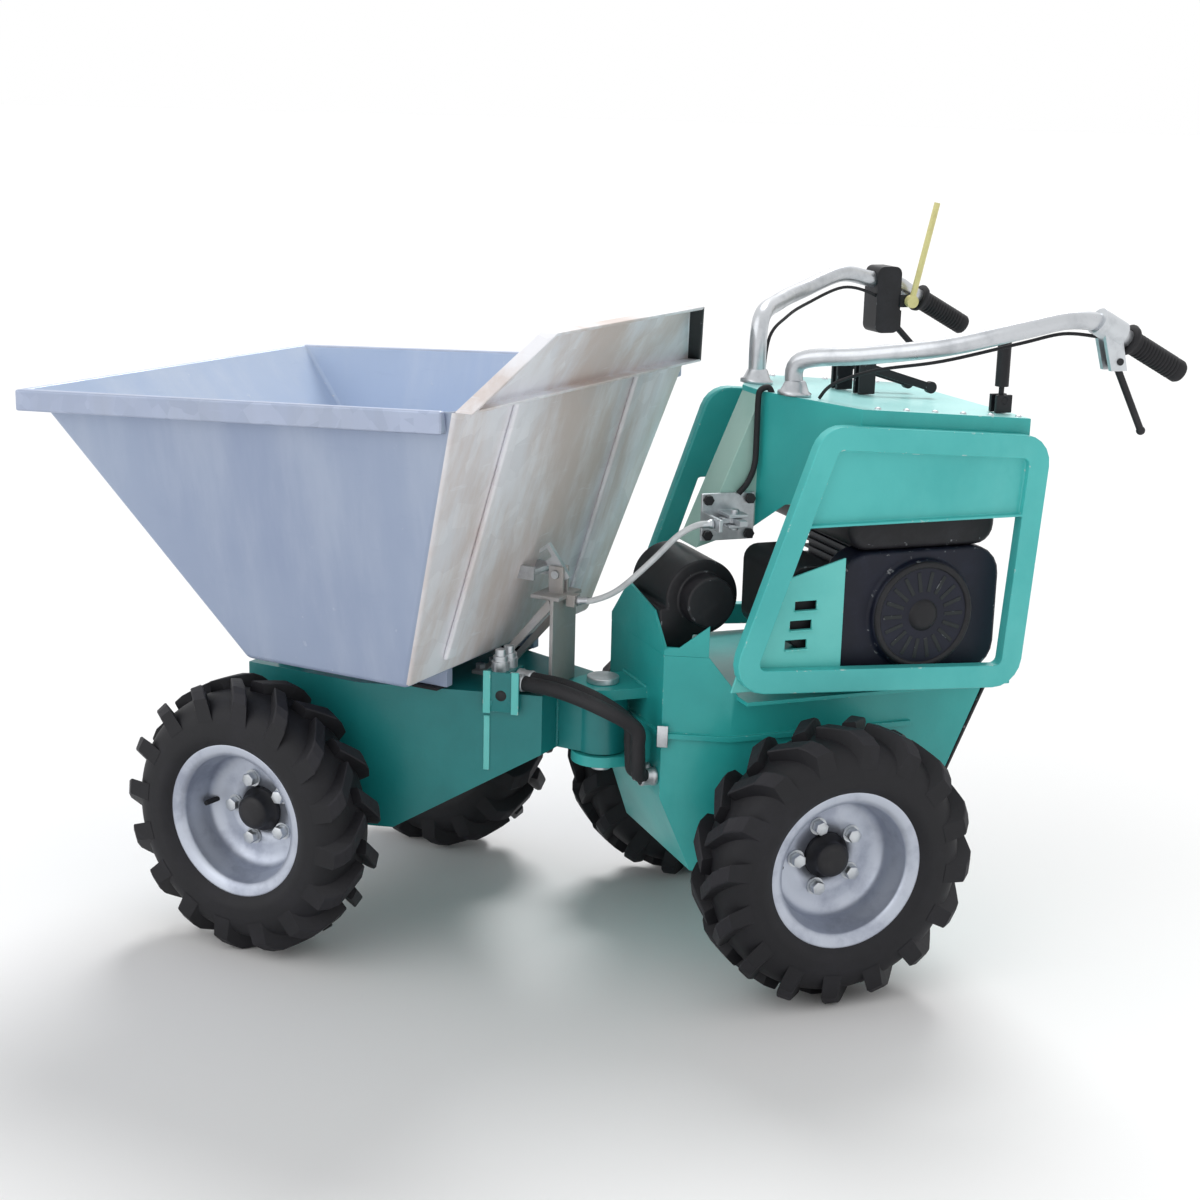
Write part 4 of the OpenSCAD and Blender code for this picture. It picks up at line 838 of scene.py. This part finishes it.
# Handlebars: the bars stand on the console and sweep out to the grips, the right one higher at first
bars = {
    "route": [(2, 64, 855.2), (-4, 70, 897.2), (-70, 150, 914), (-150, 226, 934), (-240, 276, 962),
              (-300, 288, 975), (-352, 291, 970), (-382.6, 291.9, 953.9), (-464, 294.3, 911.1)],
    "rightLift": [0, 44, 44, 35.2, 26.4, 4.4, 0, 0, 0], "diameter": 26,
    "foot": [(0, 0), (24.5, 0), (24.5, 5), (20.5, 7), (15, 20), (13, 22), (0, 22)], "footSink": 8,
    "lean": 4.5,
    "gripEnd": (-487, 295, 899), "gripLong": 105, "gripWide": 33, "gripBore": 13.1, "gripTurns": 40,
    "collar": [(6, 0), (6.5, 2), (5, 7), (0, 10)],  # beyond the grip's radius, along
    "ribs": 13, "ribStart": 14, "ribSpan": 75,
    "ribShape": [(0, 0), (0.2, 0.5), (-1.6, 0.62), (-1.6, 0.9)],  # beyond the radius, share of a rib
    "gripTip": [(0, -14), (0, -5), (-2, -1.5), (-6, 0)],  # beyond the radius, from the end
    "leftWire": [(-352, 283, 951), (-300, 277, 955), (-240, 264, 941), (-150, 213, 912), (-84, 146, 892),
                 (-40, 104, 868), (-24, 92, 846)],
    "rightWire": [(-326, -276, 936), (-300, -275, 956), (-240, -264, 968), (-150, -213, 948),
                  (-84, -146, 936), (-30, -92, 912), (-18, -84, 846)],
    "spineWire": [(26, 42, 846), (32, 41, 856), (44, 40, 852), (47, 40, 838), (47, 40, 790), (48, 40, 745),
                  (58, 40, 718), (72, 40, 702)],
    "wires": [("leftWire", 5, 12), ("rightWire", 5, 12), ("spineWire", 9, 14)],  # route, diameter, sides
}


def gripMesh(end):
    mirror = Matrix.Diagonal((1, end, 1))
    tip, before = mirror @ Vector(bars["gripEnd"]), mirror @ Vector(bars["route"][-3])
    along = (tip - before).normalized()
    half, long = bars["gripWide"] / 2, bars["gripLong"]
    profile = [(bars["gripBore"], 0)] + [(half + more, at) for more, at in bars["collar"]]
    step = bars["ribSpan"] / bars["ribs"]
    for k in range(bars["ribs"]):
        first = bars["ribStart"] + k * step
        profile += [(half + more, first + step * share) for more, share in bars["ribShape"]]
    profile += [(half + more, long + at) for more, at in bars["gripTip"]] + [(0, long)]
    turn = along.to_track_quat("Y", "Z").to_matrix().to_4x4()
    place = rearGround @ Matrix.Translation((tip - along * long) * mm) @ turn
    return lathe(profile, bars["gripTurns"], "grip", place)


def buildBars():
    meshes = []
    rightRoute = [(x, -y, z + lift) for (x, y, z), lift in zip(bars["route"], bars["rightLift"])]
    lean = Matrix.Rotation(math.radians(-bars["lean"]), 4, "Y") @ Matrix.Rotation(math.radians(90), 4, "X")
    for route in (bars["route"], rightRoute):
        meshes.append(tubeMesh(route, bars["diameter"], tubeGrey, rearGround))
        at = Vector(route[0]) - Vector((0, 0, bars["footSink"]))
        place = rearGround @ Matrix.Translation(at * mm) @ lean
        meshes.append(lathe(bars["foot"], bars["gripTurns"], "foot", place))
    addPiece("handlebars", joined("handlebars", *meshes), tubeGrey, ["handlebars"])
    addPiece("handGrips", joined("handGrips", gripMesh(1), gripMesh(-1)), blackRubber, ["hand_grips"])
    wires = [tubeMesh(bars[key], wide, blackRubber, rearGround, sides) for key, wide, sides in bars["wires"]]
    addPiece("barWires", joined("barWires", *wires), blackRubber, [], "rear_unit")


buildBars()
print("handlebars made")


# Hoses round the kingpin and the release cable, held at both ends
hoses = {
    "routes": [
        [(-340.5, 58, 424), (-372, 58, 424), (-432, 66, 424), (-486, 66, 410), (-518, 45, 380),
         (-520, 39, 350), (-519.8, 35.5, 324), (-518.6, 27.8, 306), (-523.2, 13.3, 298),
         (-531.8, 3.5, 298)],
        [(-340.5, 82, 424), (-372, 82, 424), (-432, 91, 424), (-497, 90, 410), (-536.1, 60.7, 380),
         (-538.1, 54.7, 350), (-537.9, 51.2, 324), (-536.7, 43.5, 306), (-541.3, 29, 298),
         (-549.9, 19.2, 298)]],
    "diameter": 22, "sides": 24, "steps": 10, "sleeveTurns": 32,
    "ferrule": [(0, 0), (13, 0), (13.6, 1), (13.6, 6), (12.4, 7), (12.4, 20), (13, 21), (12.2, 24), (11, 24)],
}
cable = {
    "route": [(-404.5, 0, 537), (-430, 0, 541), (-470, -2, 562), (-520, -6, 610), (-556, -14, 650),
              (-580, -28, 667), (-596.2, -46.4, 668)],
    "diameter": 9, "sides": 16, "steps": 10,
    "ferrule": [(0, 0), (7, 0), (7, 5), (5.4, 6), (5.4, 16), (4.5, 18)],
}


# A piece that runs between both units, from the start point on the front one to the end point on the rear one,
# baked where it lies
def bentPiece(name, mesh, finish, node, start, end):
    piece = linkPiece(name, mesh, finish)
    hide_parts(node)
    start, end = (frontGround @ (Vector(point) * mm) for point in (start, end))
    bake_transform(piece)


# A crimped sleeve on the end of a hose, from the end point towards the next one
def sleeve(profile, start, towards):
    along = (Vector(towards) - Vector(start)).normalized()
    turn = along.to_track_quat("Y", "Z").to_matrix().to_4x4()
    place = frontGround @ Matrix.Translation(Vector(start) * mm) @ turn
    return lathe(profile, hoses["sleeveTurns"], "sleeve", place)


def runMesh(cord, route, finish):
    return tubeMesh(route, cord["diameter"], finish, frontGround, cord["sides"], cord["steps"])


def buildHoses():
    runs = [runMesh(hoses, route, hoseSkin) for route in hoses["routes"]]
    first = hoses["routes"][0]
    bentPiece("driveHoses", joined("driveHoses", *runs), hoseSkin, "drive_hoses", first[1], first[-2])
    line = runMesh(cable, cable["route"], cableSheath)
    bentPiece("releaseCable", line, cableSheath, "release_cable", cable["route"][1], cable["route"][-2])
    for body, end, after in (("front_unit", 0, 1), ("rear_unit", -1, -2)):
        sleeves = [sleeve(hoses["ferrule"], route[end], route[after]) for route in hoses["routes"]]
        sleeves.append(sleeve(cable["ferrule"], cable["route"][end], cable["route"][after]))
        name = "sleeves" + body.split("_")[0].capitalize()
        addPiece(name, evenNormals(joined(name, *sleeves)), zincPlate, [], body)


buildHoses()
print("hoses and cable made")


# Small fittings, one dictionary for each kind
upright = Matrix.Rotation(math.radians(90), 4, "X")  # stands a turned shape on its foot
blockEdge = 0.8


# A block with rounded edges: size and middle in millimetres, turned about the upright
def block(size, middle=(0, 0, 0), place=None, turn=0.0):
    bm = bmesh.new()
    bmesh.ops.create_cube(bm, size=mm)
    bmesh.ops.scale(bm, vec=size, verts=bm.verts)
    roundEdges(bm, blockEdge, segments=2, sharp=30)
    at = Matrix.Translation(Vector(middle) * mm) @ Matrix.Rotation(math.radians(turn), 4, "Z")
    return toMesh(bm, "block", place @ at if place else at)


# Recoil starter on the blower: slots round it, a cap and a ring
recoil = {
    "at": (-168.5, 176, 537), "vents": 18, "ventSize": (30, 1.6, 6), "ventAt": (50, 0.2, 0), "turns": 64,
    "cap": [(0, 6), (14, 6), (20, 4), (24, -0.5)],
    "ring": [(70, -0.5), (70.5, 1.5), (73, 3), (77, 3), (79.5, 1.5), (80, -0.5)],
}


def buildRecoil():
    place = rearGround @ Matrix.Translation(Vector(recoil["at"]) * mm)
    vent = block(recoil["ventSize"], recoil["ventAt"])
    vents = copiesRound(vent, recoil["vents"], 0.0, darkLine, place)
    addPiece("recoilVents", vents, darkLine, [], "rear_unit")
    trim = [lathe(recoil[key], recoil["turns"], key, place) for key in ("cap", "ring")]
    addPiece("recoilTrim", joined("recoilTrim", *trim), plasticBlack, [], "rear_unit")


louvreHoods = {"size": (36, 6, 2.4), "at": (27, 187, 559), "step": (6.5, 0, -28), "count": 3}
# Dark marks on the muffler stand for its slots: painted shade inside them
silencerSlots = {"size": (6, 1.6, 44), "at": (-190, -158.2, 511), "step": (18, 0, 0), "count": 6}


def buildBlockRow(name, row, finish):
    mesh = copiesInRow(block(row["size"]), row["count"], row["step"], finish, row["at"], rearGround)
    addPiece(name, mesh, finish, [], "rear_unit")


# Screws along both edges of the console, and the plate on the rear frame's front corner
screws = {
    "at": (-306, 172, 823.1), "step": (46, 0, 3.6), "count": 6, "turns": 20,
    "profile": [(0, 3), (3, 2.6), (4.6, 1.2), (5, -0.5)],
    "cornerSize": (16, 3, 32), "cornerAt": (209.6, 112.8, 366), "cornerTurn": -27.1,
}


def buildScrews():
    x, y, z = screws["at"]
    rows = []
    for start in ((x, y, z), (x, -y, z)):
        screw = lathe(screws["profile"], screws["turns"], "screw", upright)
        rows.append(copiesInRow(screw, screws["count"], screws["step"], zincPlate, start, rearGround))
    corner = block(screws["cornerSize"], screws["cornerAt"], rearGround, screws["cornerTurn"])
    addPiece("rearScrews", joined("rearScrews", *rows, corner), zincPlate, [], "rear_unit")


# Weld beads where the yoke and the nose meet their boxes: start, direction and number of each row
welds = {
    "beadWide": 6.5, "beadStep": 3.6,
    "yoke": [((209, -44, 420.5), (0, 1, 0), 25), ((209, -44, 300.5), (0, 1, 0), 25)],
    "nose": [((-393.5, 34.5, 324), (0, 0, 1), 21), ((-393.5, -34.5, 324), (0, 0, 1), 21)],
}


def buildWelds(name, rows, finish, body, ground):
    made = []
    for start, along, count in rows:
        bm = bmesh.new()
        bmesh.ops.create_uvsphere(bm, u_segments=10, v_segments=6, radius=welds["beadWide"] / 2 * mm)
        shadeSmooth(bm)
        step = Vector(along) * welds["beadStep"]
        made.append(copiesInRow(toMesh(bm, "bead"), count, step, finish, start, ground))
    addPiece(name, joined("welds", *made), finish, [], body)


# Hose plate on the front frame's left side, with spacers behind it, pale straps, a light strip as a painted
# highlight on the frame's fold, and a dark disc as painted shade in its hole
hosePlate = {
    "size": (54, 3, 60), "at": (-338.6, 105.4, 412), "turn": 18,
    "spacerSize": (8, 14, 8), "spacers": [(-322, 106, 396), (-352, 96, 396)],
    "strapSize": (11, 3, 64), "straps": [(-319.4, 114.3, 412), (-359.4, 101.3, 412)],
    # The light strip low on the frame side is a painted highlight on the frame's fold
    "ribSize": (9, 3, 84), "ribAt": (-314.5, 104.8, 331),
    "hole": [(0, 0.4), (8, 0.4), (8.4, -0.5)], "holeAt": (-339.1, 106.9, 407), "holeTurns": 32,
}


def plateBlock(size, at):
    return block(hosePlate[size], at, frontGround, hosePlate["turn"])


def buildHosePlate():
    spacers = [plateBlock("spacerSize", at) for at in hosePlate["spacers"]]
    plate = joined("hosePlate", plateBlock("size", hosePlate["at"]), *spacers)
    addPiece("hosePlate", plate, tealDeep, [], "front_unit")
    straps = [plateBlock("strapSize", at) for at in hosePlate["straps"]]
    # The light strip along the frame's fold is a painted highlight
    straps.append(plateBlock("ribSize", hosePlate["ribAt"]))
    addPiece("hoseStraps", joined("hoseStraps", *straps), tealLight, [], "front_unit")


def buildPlateHole():
    turn = Matrix.Rotation(math.radians(hosePlate["turn"]), 4, "Z")
    place = frontGround @ Matrix.Translation(Vector(hosePlate["holeAt"]) * mm) @ turn
    # The dark disc stands for the hole: painted shade inside it
    hole = lathe(hosePlate["hole"], hosePlate["holeTurns"], "hole", place)
    addPiece("hosePlateHole", hole, darkLine, [], "front_unit")


# Stepped adapters on top of the hose block
adapters = {
    "at": (-323, 58, 438), "step": (0, 24, 0), "count": 2, "turns": 24,
    "profile": [(0, 32), (6.8, 32), (7.6, 31.6), (8, 30.8), (8, 22.4), (8.4, 22), (10.6, 22), (11, 21.6),
                (11, 14.4), (11.4, 14), (12.6, 14), (13, 13.6), (13, -0.5)],
}


def buildAdapters():
    adapter = lathe(adapters["profile"], adapters["turns"], "adapter", upright)
    row = copiesInRow(
        adapter, adapters["count"], adapters["step"], zincPlate, adapters["at"], frontGround)
    addPiece("hoseAdapters", evenNormals(row), zincPlate, [], "front_unit")


buildRecoil()
buildBlockRow("louvreHoods", louvreHoods, tealLight)
buildBlockRow("silencerSlots", silencerSlots, darkLine)
buildScrews()
buildWelds("yokeWelds", welds["yoke"], tealPaint, "rear_unit", rearGround)
buildWelds("noseWelds", welds["nose"], tealDeep, "front_unit", frontGround)
buildHosePlate()
buildAdapters()
buildPlateHole()
print("fittings made")


# Camera at the photograph's place, with a slight roll
camera = {
    "place": (-1.3476, 2.6807, 1.2531), "yaw": -62.0, "pitch": 14.2, "roll": 1.5, "lens": 59.4, "sensor": 36,
}


def buildCamera():
    yaw, pitch, roll = (math.radians(camera[key]) for key in ("yaw", "pitch", "roll"))
    ahead = Vector((math.cos(yaw) * math.cos(pitch), math.sin(yaw) * math.cos(pitch), -math.sin(pitch)))
    right = Vector((math.sin(yaw), -math.cos(yaw), 0))
    up = right.cross(ahead)
    side = math.cos(roll) * right + math.sin(roll) * up
    top = math.cos(roll) * up - math.sin(roll) * right
    data = bpy.data.cameras.new("camera")
    data.sensor_width, data.lens = camera["sensor"], camera["lens"]
    holder = bpy.data.objects.new("camera", data)
    scene.collection.objects.link(holder)
    turn = Matrix((side, top, -ahead)).transposed().to_4x4()
    holder.matrix_world = Matrix.Translation(camera["place"]) @ turn
    scene.camera = holder


# Pale floor and soft studio light
light = {
    "worldLight": 0.62, "floor": 0.86, "floorCloud": 0.02, "floorRadius": 120,
    "suns": [("keyLight", 1.9, 24, 52, 18), ("fillLight", 0.7, 60, 30, 150)],  # as addSun takes them
}


def addSun(name, strength, spread, rise, heading):
    data = bpy.data.lights.new(name, "SUN")
    data.energy, data.angle = strength, math.radians(spread)
    lamp = bpy.data.objects.new(name, data)
    scene.collection.objects.link(lamp)
    lamp.rotation_euler = (math.radians(90 - rise), 0, math.radians(heading))


def buildStudio():
    bm = bmesh.new()
    bmesh.ops.create_circle(bm, cap_ends=True, segments=64, radius=light["floorRadius"])
    floor = bpy.data.objects.new("floor", toMesh(bm, "floor"))
    scene.collection.objects.link(floor)
    f = Finish("floorPale")
    pale, paler = ((tone, tone, tone, 1) for tone in (light["floor"], light["floor"] + light["floorCloud"]))
    tone = f.mix(f.noise(0.6, 3.0), pale, paler)
    floor.data.materials.append(f.set(Base_Color=tone, Roughness=0.9))
    world = bpy.data.worlds.new("studio")
    world.use_nodes = True
    scene.world = world
    g = Graph(world.node_tree)
    world.node_tree.nodes.remove(world.node_tree.nodes["Background"])
    rays = [g.node("ShaderNodeLightPath", output=kind) for kind in
            ("Is Camera Ray", "Is Glossy Ray", "Is Transmission Ray")]
    white = g.node("ShaderNodeBackground", None, {"Color": (1, 1, 1, 1), "Strength": 1.0})
    soft = g.node("ShaderNodeBackground", None, {"Color": (1, 1, 1, 1), "Strength": light["worldLight"]})
    share = (rays[0] + rays[1] + rays[2]).above(0.5, 0.1)
    both = g.node("ShaderNodeMixShader", None, {0: share, 1: soft, 2: white})
    g.tree.links.new(both.link, g.tree.nodes["World Output"].inputs["Surface"])
    for sun in light["suns"]:
        addSun(*sun)


buildCamera()
buildStudio()
scene.view_settings.view_transform = "Standard"
print("camera and light set")
